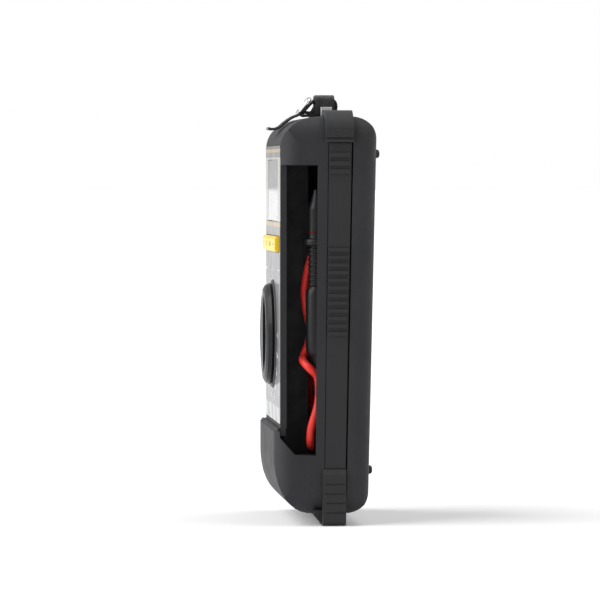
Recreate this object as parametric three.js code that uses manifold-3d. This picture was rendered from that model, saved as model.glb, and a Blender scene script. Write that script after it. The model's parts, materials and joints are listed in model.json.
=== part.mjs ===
// Handheld digital multimeter with its two fixed test leads stowed in side pockets.
// Millimetres, +Z up, -Y is the front face, +X is the user's right.
// Depths are measured back from the face (0) and the whole group is centred at the end.
import * as THREE from 'three';
import { mergeVertices } from 'three/addons/utils/BufferGeometryUtils.js';
import Module from 'manifold-3d';

const wasm = await Module();
wasm.setup();

// ---------- driving dimensions ----------
const GAP = 0.3; // clearance between pieces that touch
const BODY_W = 100; // across the case sides
const BODY_TOP = 172.8; // top of the case above the floor
const FOOT_H = 4.6; // how far the feet lift the case
const DEPTH_TOP = 41.2; // face to back at the top
const DEPTH_FOOT = 37.4; // face to back at the bottom
const SEAM_TOP = 30.5; // face to parting line at the top
const SEAM_FOOT = 27.3; // face to parting line at the bottom
const WALL = 2.4; // case wall
const CORNER_R = 8; // upright edges of the case
const OUTLINE_R = 12; // corners seen from the front
const BACK_R = 10.5; // back edges, top and bottom
const CHIN_OUT = 2.6; // chin stands this far in front of the face
const CHIN_TOP = FOOT_H + 35.2; // top edge of the chin
const CHIN_BEVEL = 2.6;
const CHIN_TURN = FOOT_H + 25.4; // where the chin starts to curve under
const CHIN_RUN = 15; // depth where the chin meets the underside
const BROW_H = 13.5; // height of the curved brow above the face
const BROW_RUN = 18; // depth of the curved brow

const LABEL_W = 87; // printed face label
const LABEL_T = 0.5;
const LABEL_TOP = BODY_TOP - 12.3;
const FACE_EDGE = 44; // half width of the face plate beside the pockets

const LCD_W = 60; // viewing area
const LCD_H = 26.5;
const LCD_TOP = BODY_TOP - 18.1;
const WINDOW_LAP = 1.6; // window beyond the viewing area, each side
const WINDOW_T = 1.4;
const GLASS_T = 2;

const BUTTON_COUNT = 4;
const BUTTON_W = 18.2;
const BUTTON_H = 6.7;
const BUTTON_PITCH = 18.8;
const BUTTON_OUT = 1.9; // proud of the label
const BUTTON_Z = LCD_TOP - LCD_H - 9.6;
const BUTTON_BACK = 1.7; // back of the cap, clear of the pocket liners when pressed
const BUTTON_STEM_W = 6;
const BUTTON_STEM_END = 5.8;

const KNOB_R = 21.8;
const KNOB_FRONT = 4.5; // dial face in front of the label
const KNOB_BACK = 0.9; // dial's back in front of the label
const KNOB_DOME = 0.9;
const GRIP_HALF = 5.2; // half width of the grip bar across the dial
const GRIP_DEEP = 2.2; // depth of the scoops beside the bar
const HUB_R = 7;
const HUB_END = 5.4;
const ROTOR_R = 15;
const KNOB_Z = (BUTTON_Z - BUTTON_H / 2 + CHIN_TOP + CHIN_BEVEL) / 2 + 0.8;

const BOARD_FRONT = 8.5;
const BOARD_T = 1.6;
const BOARD_HALF = 31.8;

const POCKET_TOP = BODY_TOP - 20.6; // side opening for the leads
const POCKET_FLOOR = FOOT_H + 25.1;
const POCKET_BACK_TOP = 15.6; // back edge of the opening
const POCKET_BACK_FOOT = 14.8;
const LINER_T = 1.2; // wall of the moulded pocket liner
const BAY_BACK = 21.2; // back of the hollow behind the side wall
const BAY_INNER = 34; // inner side of the deep front part
const STORE_INNER = 19.3; // inner side of the cord store
const STORE_FRONT = 12.7;
const DUCT_TOP = POCKET_FLOOR + 10.1; // passage between the two cord stores

const BAND_W = 10.4; // ribbed grip band on each side
const BAND_T = 1.5;
const RIB_COUNT = 12;
const RIB_PITCH = 3.22;
const RIB_TOP = BODY_TOP - 55.5;
const BLOCK_OUT = 2; // top blocks and feet stand proud of the sides
const BLOCK_UP = 2.6; // top blocks above the case
const BLOCK_DROP = 11; // top block runs this far down the side
const BLOCK_REACH = 20; // how far blocks and feet reach in over the case
const BLOCK_W = 11.8;
const FOOT_RISE = 24; // top of the foot's side plate
const FOOT_FRONT = 17.6;
const FOOT_BACK = 27.4;

const CELL_R = 7.2; // round battery cells
const CELL_L = 50.5;
const CELL_DEPTH = 27.4;
const CELL_BASE = 48.5;
const TRAY_T = 1.2;

const SCREW_R = 1.4;
const SCREW_HEAD_R = 2.7;
const SCREW_HEAD_T = 1.8;
const BOSS_R = 3.6;
const SCREW_X = 38;
const SCREW_Z = [FOOT_H + 14.4, BODY_TOP - 9.8];

const BUMP_R = 1.85; // rubber pads on the back
const BUMP_OUT = 2.4;
const BUMP_X = 32;
const BUMP_Z = [22.7, BODY_TOP - 15.8];

const CORD_R = 1.7; // test lead cable
const PROBE_X = 42.3; // axis of a stowed probe
const PROBE_Y = 15.4;
const PROBE_END = 73.5; // lower end of the handle
const BOOT_L = 7; // tapered lower end of a handle
const STRAP_W = 12;

const colours = {
  shell: 0x333336, rear: 0x38383a, liner: 0x0e0e11, band: 0x26262a, label: 0x8e8f92,
  clear: 0xdfe3e2, glass: 0xb9bdb4, frame: 0xd8d8d4, yellow: 0xf5c816, knob: 0x17171b,
  rubber: 0x222226, board: 0x1d5c38, metal: 0xb8bac0, brass: 0xb99a4a, black: 0x141416,
  red: 0xc9231d, cell: 0x3c6a4c, strap: 0x0f0f12,
};

// ---------- solids ----------
function volumeOf(position, index) {
  let sum = 0;
  const a = new THREE.Vector3();
  const b = new THREE.Vector3();
  const c = new THREE.Vector3();
  for (let i = 0; i < index.length; i += 3) {
    a.fromBufferAttribute(position, index[i]);
    b.fromBufferAttribute(position, index[i + 1]);
    c.fromBufferAttribute(position, index[i + 2]);
    sum += a.dot(b.cross(c));
  }
  return sum;
}

// A closed geometry as a solid, with its faces turned outwards.
function solid(geometry) {
  const bare = geometry.clone();
  bare.deleteAttribute('normal');
  bare.deleteAttribute('uv');
  const merged = mergeVertices(bare, 1e-4);
  const index = Array.from(merged.index.array);
  const faces = [];
  for (let i = 0; i < index.length; i += 3) {
    const [a, b, c] = [index[i], index[i + 1], index[i + 2]];
    if (a !== b && b !== c && c !== a) faces.push(a, b, c);
  }
  if (volumeOf(merged.attributes.position, faces) < 0) faces.reverse();
  const vertProperties = Float32Array.from(merged.attributes.position.array);
  const triVerts = Uint32Array.from(faces);
  return new wasm.Manifold(new wasm.Mesh({ numProp: 3, vertProperties, triVerts }));
}

function geometryOf(body) {
  const mesh = body.getMesh();
  const geometry = new THREE.BufferGeometry();
  geometry.setAttribute('position', new THREE.BufferAttribute(mesh.vertProperties, 3));
  geometry.setIndex(new THREE.BufferAttribute(mesh.triVerts, 1));
  geometry.computeVertexNormals();
  return geometry;
}

const join = (first, ...others) => others.reduce((sum, next) => sum.add(next), first);
const cut = (first, ...others) => others.reduce((sum, next) => sum.subtract(next), first);

function box(x0, x1, y0, y1, z0, z1) {
  const geometry = new THREE.BoxGeometry(x1 - x0, y1 - y0, z1 - z0);
  geometry.translate((x0 + x1) / 2, (y0 + y1) / 2, (z0 + z1) / 2);
  return solid(geometry);
}

const path = (points) => new THREE.Shape(points.map(([u, v]) => new THREE.Vector2(u, v)));

// A shape drawn in (depth, height), pushed along X.
function sidePrism(shape, x0, x1, curveSegments = 8) {
  const options = { depth: x1 - x0, bevelEnabled: false, curveSegments };
  const geometry = new THREE.ExtrudeGeometry(shape, options);
  const turn = new THREE.Matrix4().set(0, 0, 1, x0, 1, 0, 0, 0, 0, 1, 0, 0, 0, 0, 0, 1);
  return solid(geometry.applyMatrix4(turn));
}

// A shape drawn in (x, height), pushed along Y.
function frontPrism(shape, y0, y1, curveSegments = 8) {
  const options = { depth: y1 - y0, bevelEnabled: false, curveSegments };
  const geometry = new THREE.ExtrudeGeometry(shape, options);
  const turn = new THREE.Matrix4().set(1, 0, 0, 0, 0, 0, -1, y1, 0, 1, 0, 0, 0, 0, 0, 1);
  return solid(geometry.applyMatrix4(turn));
}

// A shape drawn in (x, depth), pushed along Z.
function planPrism(shape, z0, z1, curveSegments = 8) {
  const options = { depth: z1 - z0, bevelEnabled: false, curveSegments };
  const geometry = new THREE.ExtrudeGeometry(shape, options);
  geometry.translate(0, 0, z0);
  return solid(geometry);
}

// A profile of [radius, along] turned about an axis along Y through (x, z).
function turnedY(profile, x, z, segments = 16) {
  const points = profile.map(([r, along]) => new THREE.Vector2(r, along));
  const geometry = new THREE.LatheGeometry(points, segments);
  geometry.translate(x, 0, z);
  return solid(geometry);
}

// A profile of [radius, along] turned about an upright axis through (x, y).
function turnedZ(profile, x, y, segments = 12) {
  const points = profile.map(([r, along]) => new THREE.Vector2(r, along));
  const geometry = new THREE.LatheGeometry(points, segments);
  geometry.rotateX(Math.PI / 2);
  geometry.translate(x, y, 0);
  return solid(geometry);
}

const rodY = (r, y0, y1, x, z, segments = 12) =>
  turnedY([[0, y0], [r, y0], [r, y1], [0, y1]], x, z, segments);

function roundedRect(x0, x1, y0, y1, r) {
  const shape = new THREE.Shape();
  shape.moveTo(x0 + r, y0);
  shape.lineTo(x1 - r, y0);
  shape.absarc(x1 - r, y0 + r, r, -Math.PI / 2, 0);
  shape.lineTo(x1, y1 - r);
  shape.absarc(x1 - r, y1 - r, r, 0, Math.PI / 2);
  shape.lineTo(x0 + r, y1);
  shape.absarc(x0 + r, y1 - r, r, Math.PI / 2, Math.PI);
  shape.lineTo(x0, y0 + r);
  shape.absarc(x0 + r, y0 + r, r, Math.PI, Math.PI * 1.5);
  return shape;
}

// ---------- the tapering case ----------
const between = (top, foot, z) => foot + ((top - foot) * (z - FOOT_H)) / (BODY_TOP - FOOT_H);
const backAt = (z) => between(DEPTH_TOP, DEPTH_FOOT, z);
const seamAt = (z) => between(SEAM_TOP, SEAM_FOOT, z);

// The case seen from the side, moved in by inset all round.
function caseProfile(inset) {
  const floor = FOOT_H + inset;
  const top = BODY_TOP - inset;
  const r = BACK_R - inset;
  const low = floor + r;
  const high = top - r;
  const shape = new THREE.Shape();
  shape.moveTo(inset, BODY_TOP - BROW_H);
  shape.lineTo(inset, CHIN_TOP + CHIN_BEVEL);
  shape.lineTo(inset - CHIN_OUT, CHIN_TOP);
  shape.lineTo(inset - CHIN_OUT, CHIN_TURN);
  shape.bezierCurveTo(
    inset - CHIN_OUT, CHIN_TURN - 16, CHIN_RUN / 4, floor, CHIN_RUN, floor,
  );
  shape.lineTo(backAt(low) - inset - r, floor);
  shape.absarc(backAt(low) - inset - r, low, r, -Math.PI / 2, 0);
  shape.lineTo(backAt(high) - inset, high);
  shape.absarc(backAt(high) - inset - r, high, r, 0, Math.PI / 2);
  shape.lineTo(BROW_RUN, top);
  shape.bezierCurveTo(7, top, inset, BODY_TOP - 6.3 - inset / 2, inset, BODY_TOP - BROW_H);
  return shape;
}

// The case's upright edges, seen from above; the back edges lean in with the taper.
function taperedPlan(front, half, z0, z1, inset = front) {
  const outline = roundedRect(-half, half, front, DEPTH_TOP - inset, CORNER_R - inset);
  const geometry = new THREE.ExtrudeGeometry(outline, { depth: z1 - z0, bevelEnabled: false,
    curveSegments: 8 });
  geometry.translate(0, 0, z0);
  const { position } = geometry.attributes;
  for (let i = 0; i < position.count; i += 1) {
    const y = position.getY(i);
    if (y > DEPTH_TOP / 2) position.setY(i, y + backAt(position.getZ(i)) - DEPTH_TOP);
  }
  return solid(geometry);
}

function caseSolid(inset) {
  const half = BODY_W / 2 - inset;
  const side = sidePrism(caseProfile(inset), -half, half, 10);
  const outline = roundedRect(-half, half, FOOT_H + inset, BODY_TOP - inset, OUTLINE_R - inset);
  const front = frontPrism(outline, -CHIN_OUT - 1, DEPTH_TOP + 1);
  const step = CHIN_TOP + CHIN_BEVEL / 2;
  const plan = join(
    taperedPlan(inset, half, step, BODY_TOP + 1),
    taperedPlan(inset - CHIN_OUT, half, FOOT_H - 1, step + 0.01, inset),
  );
  return side.intersect(front).intersect(plan);
}

const slab = (shift0, shift1) =>
  sidePrism(path([
    [seamAt(FOOT_H - 9) + shift0, FOOT_H - 9],
    [shift1, FOOT_H - 9],
    [shift1, BODY_TOP + 9],
    [seamAt(BODY_TOP + 9) + shift0, BODY_TOP + 9],
  ]), -BODY_W, BODY_W);

const screwPlaces = SCREW_Z.flatMap((z) => [[-SCREW_X, z], [SCREW_X, z]]);
const bumpPlaces = BUMP_Z.flatMap((z) => [[-BUMP_X, z], [BUMP_X, z]]);

// The side opening of a lead pocket, drawn in (depth, height).
function pocketMouth() {
  return path([
    [-1, CHIN_TOP], [-1, POCKET_TOP], [POCKET_BACK_TOP, POCKET_TOP],
    [POCKET_BACK_FOOT, POCKET_FLOOR], [5.8, POCKET_FLOOR + 0.4],
    [-0.4, POCKET_FLOOR + 7.6], [-0.4, CHIN_TOP],
  ]);
}

const bandFrontAt = (z) => seamAt(z) - BAND_W + between(0, 1.2, z);

// The upright strip of side wall that the grip band sits in.
function bandShape(inset, z0, z1) {
  return path([
    [bandFrontAt(z0) + inset, z0], [seamAt(z0) + 0.5 - inset * 3, z0],
    [seamAt(z1) + 0.5 - inset * 3, z1], [bandFrontAt(z1) + inset, z1],
  ]);
}

const BAND_FOOT = FOOT_RISE + GAP;
const BAND_TOP = BODY_TOP - BLOCK_DROP - 0.4;

function frontCase() {
  const half = BODY_W / 2;
  const bosses = screwPlaces.map(([x, z]) => rodY(BOSS_R, 1, seamAt(z) - 0.5, x, z, 14));
  const shell = cut(caseSolid(0), caseSolid(WALL));
  const whole = join(shell, ...bosses.map((boss) => boss.intersect(caseSolid(0.4))));
  const lip = sidePrism(path([[-0.5, POCKET_FLOOR + 8], [WALL, POCKET_FLOOR + 8],
    [WALL, CHIN_TOP + 4], [-0.5, CHIN_TOP + 4]]), FACE_EDGE - 2.2, FACE_EDGE);
  const lips = join(lip, mirrored(lip)).intersect(caseSolid(0.4));
  const holes = screwPlaces.map(([x, z]) => rodY(SCREW_R + GAP, 12, DEPTH_TOP, x, z));
  const mouths = [sidePrism(pocketMouth(), FACE_EDGE, half + 1),
    sidePrism(pocketMouth(), -half - 1, -FACE_EDGE)];
  const channel = bandShape(0, BAND_FOOT - GAP, BAND_TOP + GAP);
  const depth = BAND_T + GAP;
  const channels = [sidePrism(channel, half - depth, half + 1),
    sidePrism(channel, -half - 1, depth - half)];
  const label = box(-LABEL_W / 2 - GAP, LABEL_W / 2 + GAP, -1, LABEL_T + GAP,
    CHIN_TOP + CHIN_BEVEL, LABEL_TOP + GAP);
  const lap = WINDOW_LAP + GAP;
  const window = box(-LCD_W / 2 - lap, LCD_W / 2 + lap, -1, WALL + 1,
    LCD_TOP - LCD_H - lap, LCD_TOP + lap);
  const rowHalf = (BUTTON_PITCH * (BUTTON_COUNT - 1) + BUTTON_W) / 2 + GAP;
  const row = box(-rowHalf, rowHalf, -1, WALL + 1,
    BUTTON_Z - BUTTON_H / 2 - GAP, BUTTON_Z + BUTTON_H / 2 + GAP);
  const hub = rodY(HUB_R + GAP, -1, WALL + 1, 0, KNOB_Z, 24);
  const front = join(whole, lips).intersect(slab(0, -9));
  return cut(front, ...holes, ...mouths, ...channels, label, window, row, hub);
}

const COVER_HALF = 20;
const COVER_FOOT = CELL_BASE - 6;
const COVER_TOP = CELL_BASE + CELL_L + 13;
const COVER_SCREW_Z = COVER_TOP - 5;

function coverShape(inset) {
  const z0 = COVER_FOOT + inset;
  const z1 = COVER_TOP - inset;
  return path([[backAt(z0) - WALL, z0], [backAt(z0), z0], [backAt(z1), z1], [backAt(z1) - WALL, z1]]);
}

function rearCase() {
  const shell = cut(caseSolid(0), caseSolid(WALL));
  const bosses = screwPlaces.map(([x, z]) => rodY(BOSS_R, seamAt(z) + GAP, DEPTH_TOP, x, z, 14));
  const whole = join(shell, ...bosses.map((boss) => boss.intersect(caseSolid(0.4))));
  const holes = screwPlaces.flatMap(([x, z]) => [
    rodY(SCREW_R + GAP, 12, DEPTH_TOP + 1, x, z),
    rodY(SCREW_HEAD_R + GAP, backAt(z) - SCREW_HEAD_T - 1, DEPTH_TOP + 1, x, z, 16),
  ]);
  const pads = bumpPlaces.map(([x, z]) => rodY(BUMP_R + GAP, backAt(z) - 5, DEPTH_TOP + 1, x, z));
  const hatch = sidePrism(path([
    [backAt(COVER_FOOT) - WALL - 1, COVER_FOOT - GAP], [DEPTH_TOP + 1, COVER_FOOT - GAP],
    [DEPTH_TOP + 1, COVER_TOP + GAP], [backAt(COVER_TOP) - WALL - 1, COVER_TOP + GAP],
  ]), -COVER_HALF - GAP, COVER_HALF + GAP);
  const rear = whole.intersect(slab(GAP, DEPTH_TOP + 9));
  return cut(rear, ...holes, ...pads, hatch);
}

function batteryCover() {
  const plate = sidePrism(coverShape(0), -COVER_HALF, COVER_HALF);
  const grips = [0, 1, 2, 3].map((i) =>
    box(-7, 7, backAt(COVER_FOOT) - 0.5, DEPTH_TOP + 1, COVER_FOOT + 5 + i * 2.4, COVER_FOOT + 6.1 + i * 2.4));
  const head = rodY(SCREW_HEAD_R + GAP, backAt(COVER_SCREW_Z) - SCREW_HEAD_T + 0.7, DEPTH_TOP + 1,
    0, COVER_SCREW_Z, 16);
  return cut(plate, ...grips, head, rodY(SCREW_R + GAP, 20, DEPTH_TOP + 1, 0, COVER_SCREW_Z));
}

// ---------- bumpers, grip bands, feet ----------
function gripBand(side) {
  const half = BODY_W / 2;
  const shape = bandShape(GAP, BAND_FOOT, BAND_TOP);
  const strip = sidePrism(shape, half - BAND_T, half);
  const bar = (z, high) => sidePrism(path([
    [bandFrontAt(z) + 0.6, z - high], [seamAt(z) - 0.7, z - high],
    [seamAt(z) - 0.7, z], [bandFrontAt(z) + 0.6, z],
  ]), half - 0.5, half + 0.9);
  const ribs = Array.from({ length: RIB_COUNT }, (_, i) => bar(RIB_TOP - i * RIB_PITCH, 1.5));
  const steps = [4, 7.6, 11].map((drop) => bar(BAND_TOP - drop, 1.9));
  const band = join(strip, ...ribs, ...steps);
  return side > 0 ? band : mirrored(band);
}

const mirrored = (body) => body.mirror([1, 0, 0]);

function topBlock(side) {
  const half = BODY_W / 2;
  const outer = new THREE.Shape();
  const edge = half + BLOCK_OUT;
  const high = BODY_TOP + BLOCK_UP;
  const turn = OUTLINE_R;
  outer.moveTo(half - BLOCK_REACH, BODY_TOP - BLOCK_DROP);
  outer.lineTo(half - BLOCK_REACH, high);
  outer.lineTo(edge - turn, high);
  outer.absarc(edge - turn, high - turn, turn, Math.PI / 2, 0, true);
  outer.lineTo(edge, BODY_TOP - BLOCK_DROP);
  const y1 = SEAM_TOP + 0.2;
  const raw = frontPrism(outer, y1 - BLOCK_W, y1);
  const inner = roundedRect(-half - GAP, half + GAP, FOOT_H, BODY_TOP + GAP, OUTLINE_R + GAP);
  const grooves = [1.2, 5.4].map((drop) => box(half + 1.2, edge + 1, y1 - BLOCK_W - 1, y1 + 1,
    BODY_TOP - BLOCK_DROP + drop, BODY_TOP - BLOCK_DROP + drop + 0.9));
  const block = cut(raw, frontPrism(inner, -5, DEPTH_TOP + 5), ...grooves);
  return side > 0 ? block : mirrored(block);
}

function foot(side) {
  const half = BODY_W / 2;
  const edge = half + BLOCK_OUT;
  const outer = new THREE.Shape();
  outer.moveTo(half - BLOCK_REACH, 0);
  outer.lineTo(edge - 4, 0);
  outer.absarc(edge - 4, 4, 4, -Math.PI / 2, 0);
  outer.lineTo(edge, FOOT_RISE - 2.2);
  outer.lineTo(half + GAP, FOOT_RISE);
  outer.lineTo(half - BLOCK_REACH, FOOT_RISE);
  const raw = frontPrism(outer, FOOT_FRONT, FOOT_BACK);
  const flank = sidePrism(path([
    [FOOT_FRONT - 3.4, FOOT_H + 2], [FOOT_FRONT - 3.4, FOOT_H - 0.2],
    [FOOT_FRONT + 0.4, 0], [FOOT_FRONT + 0.4, FOOT_H + 2],
  ]), half - BLOCK_REACH, half - 3);
  const inner = roundedRect(-half - GAP, half + GAP, FOOT_H - GAP, BODY_TOP, OUTLINE_R + GAP);
  const grooves = [5.4, 9.4, 13.4, 17.4].map((z) =>
    box(edge - 0.4, edge + 1, FOOT_FRONT + 1.4, FOOT_BACK - 0.6, z, z + 0.6));
  const whole = cut(join(raw, flank), frontPrism(inner, -5, DEPTH_TOP + 5), ...grooves);
  return side > 0 ? whole : mirrored(whole);
}

function backPad(x, z) {
  const y = backAt(z);
  return turnedY([[0, y - WALL + 0.5], [BUMP_R, y - WALL + 0.5], [BUMP_R, y + 0.7],
    [BUMP_R * 0.75, y + BUMP_OUT - 0.25], [0, y + BUMP_OUT]], x, z, 12);
}

function caseScrew(x, z) {
  const y = backAt(z) - SCREW_HEAD_T - 1 + GAP;
  const head = rodY(SCREW_HEAD_R, y, y + SCREW_HEAD_T, x, z, 14);
  const slot = join(box(x - 1.6, x + 1.6, y + 0.8, y + 4, z - 0.35, z + 0.35),
    box(x - 0.35, x + 0.35, y + 0.8, y + 4, z - 1.6, z + 1.6));
  return cut(join(head, rodY(SCREW_R, 14, y + 0.5, x, z)), slot);
}

function coverScrew() {
  const y = backAt(COVER_SCREW_Z) - SCREW_HEAD_T + 0.7 + GAP;
  const head = rodY(SCREW_HEAD_R, y, y + 1, 0, COVER_SCREW_Z, 14);
  return join(head, rodY(SCREW_R, y - 7, y + 0.5, 0, COVER_SCREW_Z));
}

// ---------- face, display, buttons, selector ----------
function faceLabel() {
  const z0 = CHIN_TOP + CHIN_BEVEL + GAP;
  const plate = frontPrism(roundedRect(-LABEL_W / 2, LABEL_W / 2, z0, LABEL_TOP, 1.5), 0, LABEL_T);
  const lcd = box(-LCD_W / 2, LCD_W / 2, -1, 2, LCD_TOP - LCD_H, LCD_TOP);
  const rowHalf = (BUTTON_PITCH * (BUTTON_COUNT - 1) + BUTTON_W) / 2 + GAP;
  const row = box(-rowHalf, rowHalf, -1, 2, BUTTON_Z - BUTTON_H / 2 - GAP, BUTTON_Z + BUTTON_H / 2 + GAP);
  return cut(plate, lcd, row, rodY(HUB_R + GAP, -1, 2, 0, KNOB_Z, 24));
}

const displayWindow = () => box(-LCD_W / 2 - WINDOW_LAP, LCD_W / 2 + WINDOW_LAP,
  LABEL_T + GAP, LABEL_T + GAP + WINDOW_T, LCD_TOP - LCD_H - WINDOW_LAP, LCD_TOP + WINDOW_LAP);

const GLASS_FRONT = LABEL_T + WINDOW_T + 2 * GAP + 0.3;

const lcdGlass = () => box(-LCD_W / 2 + 0.4, LCD_W / 2 - 0.4, GLASS_FRONT, GLASS_FRONT + GLASS_T,
  LCD_TOP - LCD_H + 0.4, LCD_TOP - 0.4);

function lcdFrame() {
  const outer = box(-LCD_W / 2 - 1.4, LCD_W / 2 + 1.4, GLASS_FRONT, BOARD_FRONT - GAP,
    LCD_TOP - LCD_H - 1, LCD_TOP + 1.4);
  return cut(outer, box(-LCD_W / 2, LCD_W / 2, 0, BOARD_FRONT, LCD_TOP - LCD_H, LCD_TOP));
}

const lcdConnector = () => box(-LCD_W / 2 + 3, LCD_W / 2 - 3, GLASS_FRONT + GLASS_T + GAP,
  BOARD_FRONT - GAP, LCD_TOP - LCD_H + 1, LCD_TOP - LCD_H + 3.4);

const buttonX = (i) => (i - (BUTTON_COUNT - 1) / 2) * BUTTON_PITCH;

function button(i) {
  const x = buttonX(i);
  const [z0, z1] = [BUTTON_Z - BUTTON_H / 2, BUTTON_Z + BUTTON_H / 2];
  const cap = sidePrism(path([[-BUTTON_OUT, z0 + 1], [-BUTTON_OUT, z1 - 1], [-BUTTON_OUT + 0.7, z1],
    [BUTTON_BACK, z1], [BUTTON_BACK, z0], [-BUTTON_OUT + 0.7, z0]]), x - BUTTON_W / 2, x + BUTTON_W / 2);
  const half = BUTTON_STEM_W / 2;
  return join(cap, box(x - half, x + half, BUTTON_BACK - 0.1, BUTTON_STEM_END, BUTTON_Z - 2, BUTTON_Z + 2));
}

const buttonMat = () => box(-BOARD_HALF, BOARD_HALF, BUTTON_STEM_END + 1.1, BOARD_FRONT - GAP,
  BUTTON_Z - BUTTON_H / 2 - 3, BUTTON_Z + BUTTON_H / 2 + 2);

function selectorKnob() {
  const front = -KNOB_FRONT;
  const dial = turnedY([[0, front - KNOB_DOME * 0.4], [KNOB_R * 0.6, front - KNOB_DOME * 0.2],
    [KNOB_R - 2.2, front + 0.35], [KNOB_R - 0.7, front + 1.2], [KNOB_R - 0.2, front + 2.4],
    [KNOB_R, -KNOB_BACK - 0.8], [KNOB_R - 0.3, -KNOB_BACK],
    [HUB_R, -KNOB_BACK], [HUB_R, HUB_END], [0, HUB_END]], 0, KNOB_Z, 40);
  const scoopR = KNOB_R - 4.2;
  const disc = rodY(scoopR, front - 3, front + GRIP_DEEP, 0, KNOB_Z, 40);
  const bar = box(-GRIP_HALF, GRIP_HALF, front - 4, front + GRIP_DEEP + 1, KNOB_Z - 40, KNOB_Z + 40);
  const pointer = box(-0.7, 0.7, front - 2, front + 0.5, KNOB_Z + KNOB_R - 9, KNOB_Z + KNOB_R - 3.4);
  return cut(dial, disc.subtract(bar), pointer);
}

function contactRotor() {
  const plate = rodY(ROTOR_R, HUB_END + GAP, HUB_END + 1.5, 0, KNOB_Z, 28);
  const wipers = [0, 1, 2].map((i) => {
    const angle = (i * 2 * Math.PI) / 3;
    return rodY(1.1, HUB_END + 1.2, BOARD_FRONT - GAP, 10 * Math.cos(angle), KNOB_Z + 10 * Math.sin(angle), 8);
  });
  return join(plate, ...wipers);
}

function detentRing() {
  const outline = new THREE.Shape();
  outline.absarc(0, KNOB_Z, ROTOR_R, 0, Math.PI * 2);
  const teeth = 20;
  const inner = [];
  for (let i = 0; i < teeth; i += 1) {
    const a = (i * 2 * Math.PI) / teeth;
    const b = a + Math.PI / teeth;
    inner.push([8.6 * Math.cos(a), KNOB_Z + 8.6 * Math.sin(a)]);
    inner.push([9.8 * Math.cos(b), KNOB_Z + 9.8 * Math.sin(b)]);
  }
  return cut(frontPrism(outline, WALL + GAP, WALL + 1.8, 14), frontPrism(path(inner), 0, 8));
}

// ---------- board and what sits on it ----------
function mainBoard() {
  const z0 = CHIN_TOP - 14;
  const plate = frontPrism(roundedRect(-BOARD_HALF, BOARD_HALF, z0, LCD_TOP + 4, 2),
    BOARD_FRONT, BOARD_FRONT + BOARD_T);
  return cut(plate, rodY(3, 0, 20, 0, KNOB_Z, 12));
}

const BOARD_BACK = BOARD_FRONT + BOARD_T + GAP;
const FUSE_Z = LCD_TOP - 30;
const FUSE_Y = BOARD_BACK + 3.4;

function fuse() {
  const geometry = new THREE.CylinderGeometry(2.5, 2.5, 20, 12);
  geometry.rotateZ(Math.PI / 2);
  geometry.translate(0, FUSE_Y, FUSE_Z);
  return solid(geometry);
}

function fuseClip(side) {
  const x = side * 7.5;
  const block = box(x - 1.6, x + 1.6, BOARD_BACK, FUSE_Y + 1.5, FUSE_Z - 4, FUSE_Z + 4);
  const seat = new THREE.CylinderGeometry(2.8, 2.8, 8, 12);
  seat.rotateZ(Math.PI / 2);
  seat.translate(x, FUSE_Y, FUSE_Z);
  const throat = box(x - 4, x + 4, FUSE_Y, FUSE_Y + 4, FUSE_Z - 2.2, FUSE_Z + 2.2);
  return cut(block, solid(seat), throat);
}

const buzzer = () => cut(rodY(6, BOARD_BACK, BOARD_BACK + 5, 0, LCD_TOP - 12, 20),
  rodY(1, BOARD_BACK + 3, BOARD_BACK + 9, 0, LCD_TOP - 12, 8));

const measuringChip = () => box(-7, 7, BOARD_BACK, BOARD_BACK + 1.8, KNOB_Z - 26, KNOB_Z - 12);

// ---------- battery bay ----------
const TRAY_HALF = 2 * CELL_R + 2.3;
const TRAY_FRONT = CELL_DEPTH - CELL_R - GAP - TRAY_T;

function batteryTray() {
  const back = CELL_DEPTH + CELL_R - 1;
  const [z0, z1] = [CELL_BASE - 3, CELL_BASE + CELL_L + 3];
  const outer = box(-TRAY_HALF, TRAY_HALF, TRAY_FRONT, back, z0, z1);
  const inner = box(TRAY_T - TRAY_HALF, TRAY_HALF - TRAY_T, TRAY_FRONT + TRAY_T, back + 1,
    z0 + TRAY_T, z1 - TRAY_T);
  const post = box(-4, 4, back - 6, back, z1 - 0.5, COVER_SCREW_Z + 4);
  return cut(join(outer.subtract(inner), post), rodY(SCREW_R + GAP, 10, DEPTH_TOP, 0, COVER_SCREW_Z));
}

function battery(side) {
  const top = CELL_BASE + CELL_L;
  return turnedZ([[0, CELL_BASE], [CELL_R - 0.6, CELL_BASE], [CELL_R, CELL_BASE + 0.6],
    [CELL_R, top - 2], [CELL_R - 0.8, top - 1.2], [2.6, top - 1.2], [2.6, top], [0, top]],
  side * (CELL_R + 0.4), CELL_DEPTH, 16);
}

const batteryContact = (z) => box(-TRAY_HALF + TRAY_T + GAP, TRAY_HALF - TRAY_T - GAP,
  CELL_DEPTH - 4, CELL_DEPTH + 4, z, z + 0.7);

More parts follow.
